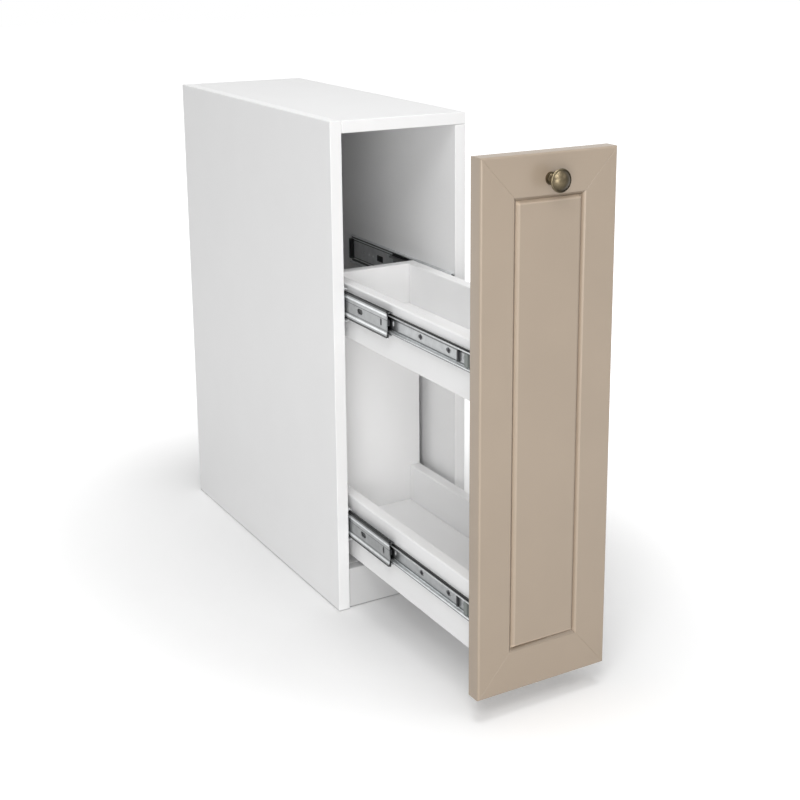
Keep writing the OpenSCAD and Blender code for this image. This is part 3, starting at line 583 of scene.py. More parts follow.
class BoardFinishes:
    """The facings and edge bands of the carcass and the drawers."""

    # Painted shade: a thin line of contact shadow where a board meets the floor
    FLOOR_CONTACT_SHADE: Line = (2, ((0.0, 0.50), (1.0, 0.55), (2.0, 1.0)))
    # Painted shade: the shell's outer faces are a little darker than the faces inside
    OUTER_FACE_SHADE: tuple[Line, ...] = (
        (0, ((-99.6, 0.93), (-98.8, 1.0), (98.8, 1.0), (99.6, 0.93))),
        (2, ((668.8, 1.0), (669.6, 0.95))),
    )
    WHITE: Color = (0.95, 0.95, 0.95)
    BAND_STRETCH = Vector((1, 0.12, 0.12))

    def __init__(self) -> None:
        """Makes the materials."""
        # Painted shade on the shell's outer faces and a painted contact shadow at the floor
        self.carcass = LaminateFinish(
            "white_melamine", self.WHITE, 0.42, lines=(*self.OUTER_FACE_SHADE, self.FLOOR_CONTACT_SHADE)
        ).material()
        # The edge band also carries the painted contact shadow at the floor
        self.carcass_band = LaminateFinish(
            "white_edge_band", self.WHITE, 0.34, pore_stretch=self.BAND_STRETCH, lines=(self.FLOOR_CONTACT_SHADE,)
        ).material()
        # Painted shade: the plinth's facing is a darker copy of the white melamine, for the shade
        # it stands in
        self.plinth = LaminateFinish(
            "plinth_melamine_painted_shade", (0.66, 0.66, 0.66), 0.42, lines=(self.FLOOR_CONTACT_SHADE,)
        ).material()
        self.hardboard = LaminateFinish(
            "white_hardboard", (0.90, 0.90, 0.90), 0.55, pore_size=1.6 * MM, pore_depth=0.03 * MM
        ).material()
        self.drawer = LaminateFinish("drawer_melamine", (0.925, 0.925, 0.925), 0.40).material()
        self.drawer_band = LaminateFinish(
            "drawer_edge_band", self.WHITE, 0.30, pore_stretch=self.BAND_STRETCH
        ).material()


class FrontFinishes:
    """The front's foil, with painted shade and painted highlights across its V grooves and along
    its left arris, and the knob's brass.
    """

    # Painted highlight along the front's left arris, about its left edge
    ARRIS_HIGHLIGHT: Tones = ((0.0, 1.0), (0.4, 1.0), (1.0, 1.16), (2.0, 1.12), (3.0, 1.0))
    SHADED = 0.80
    LIT = 1.20
    # The front's face ends here along Y, so that its back has no tones
    FACE_END = -346.5 * MM

    def __init__(self) -> None:
        """Makes the materials."""
        left, right = Span.of_node("left_stile"), Span.of_node("right_stile")
        top, bottom = Span.of_node("top_rail"), Span.of_node("bottom_rail")
        upright = (
            (0, self.groove(left.high.x, self.SHADED, self.LIT)),
            (0, self.groove(right.low.x, self.SHADED, self.LIT)),
        )
        level = (
            (2, self.groove(bottom.high.z, self.SHADED, self.LIT)),
            (2, self.groove(top.low.z, self.LIT, self.SHADED)),
        )
        self.stile = self.foil("taupe_stile", ((0, moved(self.ARRIS_HIGHLIGHT, left.low.x)), *upright))
        self.rail = self.foil("taupe_rail", level)
        self.panel = self.foil("taupe_panel", (*upright, *level))
        knob = Span.of_node("knob")
        bright, dark = (0.258, 0.212, 0.136), (0.109, 0.088, 0.056)
        self.brass = AgedBrassFinish(
            "aged_brass", bright, dark, knob.centre, knob.size.x / 2
        ).material()

    @staticmethod
    def groove(place: float, low: float, high: float) -> Tones:
        """The painted shade and painted highlight on the walls of a V groove.

        Args:
            place: The groove's centre line, in metres.
            low: The level of the wall on the low side.
            high: The level of the wall on the high side.

        Returns:
            The tones across the groove.
        """
        walls = ((-4.4, 1.0), (-3.9, low), (-0.1, low), (0.1, high), (3.9, high), (4.4, 1.0))
        return moved(walls, place)

    def foil(self, name: str, lines: tuple[Line, ...]) -> Material:
        """The taupe foil with its painted shade and highlights.

        Args:
            name: The material's name.
            lines: The tones across the grooves.

        Returns:
            The material.
        """
        return LaminateFinish(
            name,
            (0.400, 0.320, 0.243),
            0.33,
            mottle=0.02,
            mottle_size=90 * MM,
            gloss=0.6,
            lines=lines,
            lines_end=self.FACE_END,
        ).material()


class FittingFinishes:
    """The metal, plastic and wood of the slides and the fasteners."""

    # Painted highlights on the lips and painted shade in the raceways and creases, upwards from a
    # slide's centre line
    INTERMEDIATE_BANDS: Tones = (
        *((-15.4, 0.06), (-14.8, 0.42), (-13.3, 0.45), (-12.8, 0.95), (-10.4, 0.95)),
        *((-10.0, 0.40), (-8.9, 0.30), (-8.5, 0.20), (-7.9, 0.20), (-7.5, 0.41)),
        *((4.9, 0.41), (5.2, 0.22), (6.0, 0.22), (6.3, 0.50), (10.0, 0.50)),
        *((10.4, 0.95), (12.8, 0.95), (13.3, 0.45), (14.8, 0.42), (15.4, 0.06)),
    )
    # The same painted highlights and shade on the drawer member
    DRAWER_BANDS: Tones = (
        *((-11.0, 0.30), (-10.3, 0.30), (-10.0, 1.0), (-8.6, 1.0), (-8.2, 0.22), (-7.2, 0.22)),
        *((-6.8, 0.53), (4.6, 0.53), (5.0, 0.16), (6.4, 0.16), (6.8, 1.0), (12.0, 1.0)),
    )
    # Painted shade in the groove between the drawer member's top lip and the drawer side
    DRAWER_SHELF: Tones = ((72.0, 0.04), (75.2, 0.04), (76.4, 1.0))
    # Painted shade on the drawer member inside the intermediate member's front end, where the inner
    # ball cage runs
    DRAWER_CAGE_SHADE: Tones = (
        *((-120.0, 1.0), (-116.0, 0.20), (-108.0, 0.12), (-62.0, 0.12), (-56.0, 0.90)),
    )
    # Painted highlights and shade on the cabinet member: the upper half, which the lower one
    # mirrors
    CABINET_BANDS: Tones = (
        *((12.6, 0.80), (13.0, 0.22), (14.0, 0.22), (14.4, 1.0)),
        *((16.0, 0.85), (16.5, 0.15), (19.0, 0.20), (19.5, 0.90)),
    )
    BLACK: Color = (0.018, 0.018, 0.02)

    def __init__(self) -> None:
        """Makes the materials."""
        centres = tuple(
            Span.of_node(f"{level.value}_left_cabinet_member").centre.z for level in Level
        )
        zinc = (0.78, 0.80, 0.81)
        self.intermediate_member = SteelFinish(
            "zinc_plated_intermediate",
            zinc,
            0.30,
            metallic=0.8,
            tones=SlideTones(centres, self.INTERMEDIATE_BANDS),
        ).material()
        self.drawer_member = SteelFinish(
            "zinc_plated_drawer_member",
            zinc,
            0.30,
            metallic=0.8,
            tones=SlideTones(
                centres, self.DRAWER_BANDS, shelf=self.DRAWER_SHELF, cage_shade=self.DRAWER_CAGE_SHADE
            ),
        ).material()
        mirrored = tuple((-height, level) for height, level in reversed(self.CABINET_BANDS))
        # Painted light: the cabinet member's zinc is a lighter, less metallic copy of the other
        # members', against the shade inside the carcass
        self.cabinet_member = SteelFinish(
            "zinc_plated_cabinet_member",
            (0.80, 0.82, 0.83),
            0.36,
            metallic=0.35,
            tones=SlideTones(centres, (*mirrored, *self.CABINET_BANDS)),
        ).material()
        self.cage = SteelFinish("ball_cage_sheet", (0.42, 0.44, 0.46), 0.36).material()
        self.balls = SteelFinish(
            "polished_balls", (0.62, 0.63, 0.64), 0.14, bloom=0.03
        ).material()
        self.cast_zinc = SteelFinish("zinc_fittings", (0.60, 0.60, 0.59), 0.38).material()
        self.screws = SteelFinish("zinc_screws", (0.62, 0.63, 0.64), 0.30).material()
        self.black_screws = SteelFinish("black_screws", (0.06, 0.06, 0.065), 0.34).material()
        stops_middle = Span.of_node("slide_front_stops").centre.y
        self.stops = StopFinish(
            "slide_stops", self.BLACK, (0.20, 0.22, 0.21), stops_middle
        ).material()
        self.plastic = PlasticFinish("black_plastic", self.BLACK, 0.42).material()
        self.beech = BeechFinish("beech", (0.56, 0.40, 0.23), (0.38, 0.24, 0.12)).material()


def box_mesh(span: Span) -> Mesh:
    """A plain box to shape further.

    Args:
        span: The box.

    Returns:
        The mesh, with outward faces.
    """
    mesh = bmesh.new()
    bmesh.ops.create_cube(mesh, size=1.0)
    bmesh.ops.scale(mesh, vec=span.size, verts=mesh.verts)
    bmesh.ops.translate(mesh, vec=span.centre, verts=mesh.verts)
    return mesh


def angled_edges(mesh: Mesh, angle: float) -> Edges:
    """The edges whose faces meet at more than an angle in degrees."""
    limit = math.radians(angle)
    return [e for e in mesh.edges if len(e.link_faces) == 2 and e.calc_face_angle() > limit]


def round_edges(mesh: Mesh, edges: Edges, radius: float, segments: int) -> None:
    """Rounds some edges of a mesh.

    Args:
        mesh: The mesh.
        edges: The edges to round.
        radius: The radius in metres.
        segments: The number of faces across the round.
    """
    bmesh.ops.bevel(
        mesh,
        geom=edges,
        offset=radius,
        offset_type="OFFSET",
        segments=segments,
        profile=0.5,
        affect="EDGES",
        material=-1,
    )


def cut_plane(mesh: Mesh, point: Vector, normal: Vector, clear_outer: bool = False) -> None:
    """Cuts a mesh through along a plane.

    Args:
        mesh: The mesh.
        point: A point of the plane.
        normal: The plane's direction.
        clear_outer: Whether the part on the plane's far side goes.
    """
    everything = [*mesh.verts, *mesh.edges, *mesh.faces]
    bmesh.ops.bisect_plane(
        mesh, geom=everything, plane_co=point, plane_no=normal, clear_outer=clear_outer
    )


def new_object(name: str, mesh: Mesh) -> Object:
    """Turns a mesh into an object of the scene.

    Args:
        name: The object's name.
        mesh: The shaped mesh, which is freed.

    Returns:
        The object.
    """
    data = bpy.data.meshes.new(name)
    mesh.to_mesh(data)
    mesh.free()
    made = bpy.data.objects.new(name, data)
    bpy.context.scene.collection.objects.link(made)
    return made


@dataclass(frozen=True)
class Piece:
    """A finished piece's name and what it stands for."""

    name: str
    body: str
    node: str
    slot: str

    def settle(self, mesh: Mesh, materials: list[Material]) -> Object:
        """Turns a mesh into the piece and seats it on its body.

        Args:
            mesh: The shaped mesh, which is freed.
            materials: The materials of the mesh's material numbers.

        Returns:
            The piece.
        """
        for face in mesh.faces:
            face.smooth = True
        for edge in angled_edges(mesh, SHARP_ANGLE):
            edge.smooth = False
        piece = new_object(self.name, mesh)
        for material in materials:
            piece.data.materials.append(material)
        even = piece.modifiers.new("even_shading", "WEIGHTED_NORMAL")
        even.weight = 100
        even.keep_sharp = True
        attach(piece, self.body)
        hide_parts(self.node)
        LOG.info("%s stands for %s on %s", self.name, self.node, self.body)
        return piece


@dataclass(frozen=True)
class Bore:
    """A round blind hole, from a point on the surface inwards."""

    mouth: Vector
    direction: Face
    radius: float
    depth: float
    overrun: float = 1 * MM
    segments: int = 48

    def cutter(self) -> Object:
        """Makes the cylinder that cuts the hole, which runs out past its mouth.

        Returns:
            The cylinder.
        """
        inwards = -self.direction.normal()
        turn = Z_AXIS.rotation_difference(inwards).to_matrix().to_4x4()
        middle = self.mouth + inwards * (self.depth - self.overrun) / 2
        mesh = bmesh.new()
        bmesh.ops.create_cone(
            mesh,
            cap_ends=True,
            segments=self.segments,
            radius1=self.radius,
            radius2=self.radius,
            depth=self.depth + self.overrun,
            matrix=Matrix.Translation(middle) @ turn,
        )
        return new_object("bore", mesh)


def drill(piece: Object, bores: tuple[Bore, ...]) -> None:
    """Cuts bores into a finished piece and applies them.

    Args:
        piece: The piece.
        bores: Its holes.
    """
    for bore in bores:
        tool = bore.cutter()
        cut = piece.modifiers.new("bore", "BOOLEAN")
        cut.operation = "DIFFERENCE"
        cut.solver = "EXACT"
        cut.object = tool
        piece.modifiers.move(len(piece.modifiers) - 1, 0)
        evaluated = piece.evaluated_get(bpy.context.evaluated_depsgraph_get())
        drilled = bpy.data.meshes.new_from_object(evaluated)
        piece.modifiers.remove(piece.modifiers[0])
        piece.data = drilled
        bpy.data.objects.remove(tool)


@dataclass(frozen=True)
class EdgedBoard:
    """A faced board whose banded edges are rounded and show a fine seam."""

    piece: Piece
    bands: tuple[Face, ...]
    rounding: float
    band_thickness: float
    segments: int = 4
    bores: tuple[Bore, ...] = ()
    butted: tuple[Face, ...] = ()
    joint_gap: float = 0.4 * MM

    def trimmed_span(self) -> Span:
        """The node's box with its butted ends drawn in by the joint gap.

        Returns:
            The board's box.
        """
        span = Span.of_node(self.piece.node)
        low, high = span.low.copy(), span.high.copy()
        for face in self.butted:
            for axis, sign in enumerate(face.value):
                if sign > 0:
                    high[axis] -= self.joint_gap
                elif sign < 0:
                    low[axis] += self.joint_gap
        return Span(low, high)

    def build(self, facing: Material, banding: Material) -> Object:
        """Makes the board in its node's place.

        Args:
            facing: The material of the board's faces.
            banding: The material of its banded edges.

        Returns:
            The board.
        """
        span = self.trimmed_span()
        mesh = box_mesh(span)
        for face in self.bands:
            normal = face.normal()
            seam = span.point_on(face) - normal * self.band_thickness
            cut_plane(mesh, seam, normal)
            for part in mesh.faces:
                if (part.calc_center_median() - seam).dot(normal) > TOLERANCE:
                    part.material_index = 1
        round_edges(mesh, angled_edges(mesh, ROUNDED_ANGLE), self.rounding, self.segments)
        board = self.piece.settle(mesh, [facing, banding])
        drill(board, self.bores)
        return board


@dataclass(frozen=True)
class Carcass:
    """The standing cabinet: six boards and the bores of their cams."""

    body: str = "cabinet"
    rounding: float = 0.9 * MM
    band_thickness: float = 1.2 * MM
    back_rounding: float = 0.3 * MM
    cam_radius: float = 7.5 * MM
    cam_depth: float = 12.7 * MM
    cam_reach: float = 34 * MM
    cam_front_margin: float = 60 * MM
    cam_rear_margin: float = 90 * MM

    def cam_bores(self, x_places: list[float], z: float, face: Face) -> tuple[Bore, ...]:
        """The cam bores of one board, in two rows along Y.

        Args:
            x_places: The bores' places along X.
            z: Their height.
            face: The face that they are drilled from.

        Returns:
            The bores.
        """
        front = Span.of_node("left_side_panel").low.y + self.cam_front_margin
        rear = Span.of_node("back_panel").low.y - self.cam_rear_margin
        return tuple(
            Bore(Vector((x, y, z)), face, self.cam_radius, self.cam_depth)
            for x in x_places
            for y in (front, rear)
        )

    def board(
        self,
        node: str,
        bands: tuple[Face, ...],
        bores: tuple[Bore, ...] = (),
        butted: tuple[Face, ...] = (),
    ) -> EdgedBoard:
        """Describes one board of the carcass.

        Args:
            node: The node that it stands for.
            bands: Its banded edges.
            bores: Its cam bores.
            butted: Its ends that butt against another board.

        Returns:
            The board, not yet built.
        """
        piece = Piece(f"{node}_board", self.body, node, "white_board")
        return EdgedBoard(
            piece, bands, self.rounding, self.band_thickness, bores=bores, butted=butted
        )

    def build(self, finishes: BoardFinishes) -> None:
        """Makes the six boards.

        Args:
            finishes: The boards' materials.
        """
        top = Span.of_node("top_panel")
        right = Span.of_node("right_side_panel")
        bottom = Span.of_node("bottom_panel")
        right_bores = self.cam_bores([right.high.x], right.high.z - self.cam_reach, Face.RIGHT)
        top_bores = self.cam_bores([top.low.x + self.cam_reach], top.low.z, Face.UNDER)
        reach = right.low.x - self.cam_reach
        bottom_bores = self.cam_bores([-reach, reach], bottom.low.z, Face.UNDER)
        all_round = (Face.FRONT, Face.REAR, Face.OVER, Face.UNDER)
        for board in (
            self.board("left_side_panel", all_round),
            self.board("right_side_panel", all_round, right_bores, (Face.OVER,)),
            self.board("top_panel", (Face.FRONT, Face.REAR, Face.RIGHT), top_bores, (Face.LEFT,)),
            self.board("bottom_panel", (Face.FRONT,), bottom_bores),
        ):
            board.build(finishes.carcass, finishes.carcass_band)
        plinth = self.board("plinth_board", (Face.UNDER, Face.OVER))
        plinth.build(finishes.plinth, finishes.plinth)
        sheet = Piece("back_panel_sheet", self.body, "back_panel", "back_board")
        back = EdgedBoard(sheet, (), self.back_rounding, self.band_thickness, segments=2)
        back.build(finishes.hardboard, finishes.hardboard)


@dataclass(frozen=True)
class DrawerBoxes:
    """The two drawer boxes and the tall board that joins them at the rear."""

    body: str = "pull_out"
    rounding: float = 1.7 * MM
    band_thickness: float = 2.0 * MM
    segments: int = 5

    def board(self, node: str, bands: tuple[Face, ...]) -> EdgedBoard:
        """One drawer board, not yet built."""
        piece = Piece(f"{node}_board", self.body, node, "drawer_board")
        return EdgedBoard(piece, bands, self.rounding, self.band_thickness, self.segments)

    def build(self, finishes: BoardFinishes) -> None:
        """Makes the nine boards.

        Args:
            finishes: The boards' materials.
        """
        rims = (Face.OVER, Face.UNDER)
        boards = [self.board("tall_back_board", (*rims, Face.LEFT, Face.RIGHT))]
        for level in Level:
            for side in Side:
                boards.append(self.board(f"{level.value}_{side.value}_drawer_side", rims))
            boards.append(self.board(f"{level.value}_drawer_front_board", rims))
            boards.append(self.board(f"{level.value}_drawer_floor", ()))
        for board in boards:
            board.build(finishes.drawer, finishes.drawer_band)


@dataclass(frozen=True)
class FrameMember:
    """A stile or rail of the front, from its outer edge inwards."""

    piece: Piece
    corner: Vector
    inwards: Vector
    along: Vector
    length: float
    width: float
    thickness: float
    groove_half: float
    groove_depth: float
    # Each mitre's point and its direction, away from the part that stays
    mitres: tuple[tuple[Vector, Vector], ...]
    mitre_ease: float = 0.25 * MM
    edge_radius: float = 2.5 * MM
    edge_segments: int = 6
    shoulder_radius: float = 0.5 * MM
    back_radius: float = 0.8 * MM
    small_segments: int = 3

    def section(self) -> list[tuple[float, float]]:
        """The member's outline across its length.

        Returns:
            Points of distance inwards and depth behind the face.
        """
        shoulder = (self.width - self.groove_half, 0)
        floor = (self.width, self.groove_depth)
        return [(0, 0), shoulder, floor, (self.width, self.thickness), (0, self.thickness)]

    def build(self, finish: Material) -> Object:
        """Makes the member and cuts its mitres.

        Args:
            finish: The member's material.

        Returns:
            The member.
        """
        mesh = bmesh.new()
        outline = [
            mesh.verts.new(self.corner + self.inwards * across + Y_AXIS * depth)
            for across, depth in self.section()
        ]
        extruded = bmesh.ops.extrude_face_region(mesh, geom=[mesh.faces.new(outline)])["geom"]
        ends = [v for v in extruded if isinstance(v, bmesh.types.BMVert)]
        bmesh.ops.translate(mesh, vec=self.along * self.length, verts=ends)
        bmesh.ops.recalc_face_normals(mesh, faces=mesh.faces)
        shoulder = self.width - self.groove_half
        for inwards, depth, radius, segments in (
            (0, 0, self.edge_radius, self.edge_segments),
            (shoulder, 0, self.shoulder_radius, self.small_segments),
            (0, self.thickness, self.back_radius, self.small_segments),
        ):
            round_edges(mesh, self.long_edges(mesh, inwards, depth), radius, segments)
        for point, normal in self.mitres:
            self.cut_mitre(mesh, point, normal)
        return self.piece.settle(mesh, [finish])

    def long_edges(self, mesh: Mesh, inwards: float, depth: float) -> Edges:
        """The long edge at one corner of the section.

        Args:
            mesh: The member's mesh.
            inwards: The corner's distance from the outer edge.
            depth: The corner's depth behind the face.

        Returns:
            The edge's parts.
        """
        start = self.corner + self.inwards * inwards + Y_AXIS * depth
        chosen = []
        for edge in mesh.edges:
            offsets = [v.co - start for v in edge.verts]
            if all((o - self.along * o.dot(self.along)).length < TOLERANCE for o in offsets):
                chosen.append(edge)
        return chosen

    def cut_mitre(self, mesh: Mesh, point: Vector, normal: Vector) -> None:
        """Cuts the member at a mitre plane and eases the cut's rim.

        Args:
            mesh: The member's mesh.
            point: A point of the plane.
            normal: The plane's direction, away from the part that stays.
        """
        cut_plane(mesh, point, normal, clear_outer=True)
        open_edges = [e for e in mesh.edges if e.is_boundary]
        bmesh.ops.holes_fill(mesh, edges=open_edges, sides=0)
        bmesh.ops.recalc_face_normals(mesh, faces=mesh.faces)
        rim = [
            e for e in mesh.edges
            if all(abs((v.co - point).dot(normal)) < 0.1 * TOLERANCE for v in e.verts)
        ]
        round_edges(mesh, rim, self.mitre_ease, 1)


@dataclass(frozen=True)
class Front:
    """The mitred front: two stiles, two rails and the centre panel in a V groove."""

    body: str = "pull_out"
    slot: str = "taupe_front"
    groove_half: float = 4.0 * MM
    groove_depth: float = 3.5 * MM
    panel_shoulder: float = 0.5 * MM
    panel_segments: int = 3

    def build(self, finishes: FrontFinishes) -> None:
        """Makes the five members of the front.

        Args:
            finishes: The front's materials.
        """
        left, right = Span.of_node("left_stile"), Span.of_node("right_stile")
        top, bottom = Span.of_node("top_rail"), Span.of_node("bottom_rail")
        face, back = left.low.y, left.high.y
        outside = Span(
            Vector((left.low.x, face, bottom.low.z)), Vector((right.high.x, back, top.high.z))
        )
        opening = Span(
            Vector((left.high.x, face, bottom.high.z)), Vector((right.low.x, back, top.low.z))
        )
        for node, inwards, along, span, finish in (
            ("left_stile", X_AXIS, Z_AXIS, left, finishes.stile),
            ("right_stile", -X_AXIS, Z_AXIS, right, finishes.stile),
            ("top_rail", -Z_AXIS, X_AXIS, top, finishes.rail),
            ("bottom_rail", Z_AXIS, X_AXIS, bottom, finishes.rail),
        ):
            member = FrameMember(
                Piece(f"{node}_member", self.body, node, self.slot),
                outside.corner_towards(-inwards - along),
                inwards,
                along,
                abs(span.size.dot(along)),
                abs(span.size.dot(inwards)),
                span.size.y,
                self.groove_half,
                self.groove_depth,
                tuple(self.mitre(outside, opening, inwards, end) for end in (-along, along)),
            )
            member.build(finish)
        self.build_panel(opening, finishes.panel)

    @staticmethod
    def mitre(outside: Span, opening: Span, inwards: Vector, end: Vector) -> tuple[Vector, Vector]:
        """The plane through one corner's diagonal.

        Args:
            outside: The front's box.
            opening: The box that the frame leaves open.
            inwards: The member's direction from its outer edge.
            end: The direction of the member's end.

        Returns:
            A point of the plane and its direction, towards the end.
        """
        outer = outside.corner_towards(end - inwards)
        inner = opening.corner_towards(end - inwards)
        normal = (inner - outer).cross(Y_AXIS).normalized()
        return outer, normal if normal.dot(end) > 0 else -normal

    def build_panel(self, span: Span, finish: Material) -> Object:
        """Makes the centre panel with its bevelled margin.

        Args:
            span: The opening of the frame, which the panel fills.
            finish: The panel's material.

        Returns:
            The panel.
        """
        mesh = box_mesh(span)
        face = min(mesh.faces, key=lambda f: f.calc_center_median().y)
        bmesh.ops.inset_region(mesh, faces=[face], thickness=self.groove_half)
        margin = [
            v for v in mesh.verts
            if v not in face.verts and abs(v.co.y - span.low.y) < TOLERANCE
        ]
        bmesh.ops.translate(mesh, vec=Y_AXIS * self.groove_depth, verts=margin)
        round_edges(mesh, list(face.edges), self.panel_shoulder, self.panel_segments)
        piece = Piece("centre_panel_board", self.body, "centre_panel", self.slot)
        return piece.settle(mesh, [finish])


@dataclass(frozen=True)
class Knob:
    """The turned knob: foot, waisted neck, rolled rim and domed crown."""

    body: str = "pull_out"
    foot_radius: float = 7.5 * MM
    foot_height: float = 3.0 * MM
    # The foot's rounded rim, as steps in radius and height from its upper corner
    foot_rim: tuple[tuple[float, float], ...] = (
        (0.0, -0.6 * MM),
        (-0.2 * MM, -0.15 * MM),
        (-0.7 * MM, 0.0),
    )
    waist_radius: float = 4.6 * MM
    waist_share: float = 0.35
    neck_hollow: float = 10.4 * MM
    neck_steps: int = 12
    rim_half: float = 1.2 * MM
    rim_place: float = 19.0 * MM
    rim_tuck: float = 0.6 * MM
    rim_steps: int = 8
    crown_radius: float = 11.3 * MM
    crown_ledge: float = 0.7 * MM
    crown_drop: float = 0.25 * MM
    crown_steps: int = 12
    turn_steps: int = 96

    def neck(self, end: float) -> list[tuple[float, float]]:
        """The hollow neck between the foot and the rim.

        Args:
            end: The rim's underside.

        Returns:
            Points of radius and distance from the front's face.
        """
        length = end - self.foot_height
        middle = self.foot_height + length * self.waist_share
        points = []
        for step in range(self.neck_steps + 1):
            s = self.foot_height + length * step / self.neck_steps
            hollow = math.sqrt(self.neck_hollow**2 - (s - middle) ** 2)
            points.append((self.waist_radius + self.neck_hollow - hollow, s))
        return points

    def rim(self, bead: float) -> list[tuple[float, float]]:
        """The half-round rim of the cap.

        Args:
            bead: The radius at which the half round is centred.

        Returns:
            Points of radius and distance from the front's face.
        """
        angles = [math.pi * (step / self.rim_steps - 0.5) for step in range(self.rim_steps + 1)]
        return [
            (bead + self.rim_half * math.cos(a), self.rim_place + self.rim_half * math.sin(a))
            for a in angles
        ]

    def crown(self, start: float, length: float) -> list[tuple[float, float]]:
        """The domed crown, an arc that ends on the axis.

        Args:
            start: The crown's foot.
            length: The knob's whole length.

        Returns:
            Points of radius and distance from the front's face.
        """
        rise = length - start
        dome = (self.crown_radius**2 + rise**2) / (2 * rise)
        widest = math.asin(self.crown_radius / dome)
        angles = [widest * (1 - step / self.crown_steps) for step in range(self.crown_steps + 1)]
        return [(dome * math.sin(a), length - dome * (1 - math.cos(a))) for a in angles]

    def outline(self, radius: float, length: float) -> list[tuple[float, float]]:
        """The knob's half section.

        Args:
            radius: The cap's radius.
            length: The knob's whole length.

        Returns:
            Points of radius and distance from the front's face.
        """
        under, over = self.rim_place - self.rim_half, self.rim_place + self.rim_half
        bead = radius - self.rim_half
        foot = [(self.foot_radius + out, self.foot_height + up) for out, up in self.foot_rim]
        return [
            (0.0, 0.0),
            (self.foot_radius, 0.0),
            *foot,
            *self.neck(under),
            (bead - self.rim_tuck, under),
            *self.rim(bead),
            (self.crown_radius + self.crown_ledge, over - self.crown_drop),
            *self.crown(over, length),
        ]

    def build(self, finish: Material) -> Object:
        """Turns the knob about its axis.

        Args:
            finish: The knob's material.

        Returns:
            The knob.
        """
        span = Span.of_node("knob")
        axis = Vector((span.centre.x, span.high.y, span.centre.z))
        mesh = bmesh.new()
        places = [
            mesh.verts.new(axis + X_AXIS * r - Y_AXIS * s)
            for r, s in self.outline(span.size.x / 2, span.size.y)
        ]
        edges = [mesh.edges.new(pair) for pair in zip(places, places[1:])]
        bmesh.ops.spin(
            mesh,
            geom=[*places, *edges],
            cent=axis,
            axis=Y_AXIS,
            angle=2 * math.pi,
            steps=self.turn_steps,
            use_merge=True,
        )
        bmesh.ops.remove_doubles(mesh, verts=mesh.verts, dist=TOLERANCE / 2)
        bmesh.ops.recalc_face_normals(mesh, faces=mesh.faces)
        return Piece("turned_knob", self.body, "knob", "aged_brass").settle(mesh, [finish])


@dataclass(frozen=True)
class Fittings:
    """The slides, balls, screws and dowels, which keep their nodes' meshes."""

    edge_ease: float = 0.22 * MM
    ease_segments: int = 2
    ease_angle: float = 40.0
    weld_distance: float = 0.002 * MM

    def materials(self, finishes: FittingFinishes) -> dict[str, Material]:
        """Pairs each kind of node with its material.

        Args:
            finishes: The fittings' materials.

        Returns:
            The materials by the end of a node's name.
        """
        return {
            "cabinet_member": finishes.cabinet_member,
            "intermediate_member": finishes.intermediate_member,
            "drawer_member": finishes.drawer_member,
            "outer_ball_cage": finishes.cage,
            "inner_ball_cage": finishes.plastic,
            "inner_balls": finishes.balls,
            "release_lever": finishes.plastic,
            "slide_rear_bumpers": finishes.plastic,
            "slide_front_stops": finishes.stops,
            "cam_locks": finishes.cast_zinc,
            "connecting_bolts": finishes.cast_zinc,
            "carcass_dowels": finishes.beech,
            "drawer_dowels": finishes.beech,
            "front_fixing_screws": finishes.screws,
            "knob_screw": finishes.screws,
            "slide_to_cabinet_screws": finishes.screws,
            "slide_to_drawer_screws": finishes.black_screws,
        }

    def ease_edges(self, node: Object) -> None:
        """Eases a stamped or moulded piece's edges so that they catch the light.

        Args:
            node: The piece.
        """
        weld = node.modifiers.new("weld", "WELD")
        weld.merge_threshold = self.weld_distance
        ease = node.modifiers.new("ease", "BEVEL")
        ease.width = self.edge_ease
        ease.segments = self.ease_segments
        ease.limit_method = "ANGLE"
        ease.angle_limit = math.radians(self.ease_angle)

    def dress(
        self, nodes: dict[str, Object], finishes: FittingFinishes, plain: Material
    ) -> None:
        """Gives every node its material, those that a new piece replaces a plain one.

        Args:
            nodes: The frame's nodes by name.
            finishes: The fittings' materials.
            plain: The material of the nodes that are replaced.
        """
        kinds = self.materials(finishes)
        for name, node in nodes.items():
            kind = next((k for k in kinds if name.endswith(k)), None)
            material = kinds.get(kind, plain)
            node.data.materials.clear()
            node.data.materials.append(material)
            if name.endswith("_member") or material in (finishes.plastic, finishes.stops):
                self.ease_edges(node)
            if kind is not None:
                LOG.info("%s keeps its mesh in %s", name, material.name)


@dataclass(frozen=True)
class Lamp:
    """A soft square lamp that looks at a point."""

    name: str
    place: Vector
    width: float
    power: float

    def build(self, target: Vector) -> None:
        """Hangs the lamp.

        Args:
            target: The point that it looks at.
        """
        data = bpy.data.lights.new(self.name, "AREA")
        data.shape = "SQUARE"
        data.size = self.width
        data.energy = self.power
        lamp = bpy.data.objects.new(self.name, data)
        lamp.location = self.place
        lamp.rotation_mode = "QUATERNION"
        lamp.rotation_quaternion = (target - self.place).to_track_quat("-Z", "Y")
        bpy.context.scene.collection.objects.link(lamp)


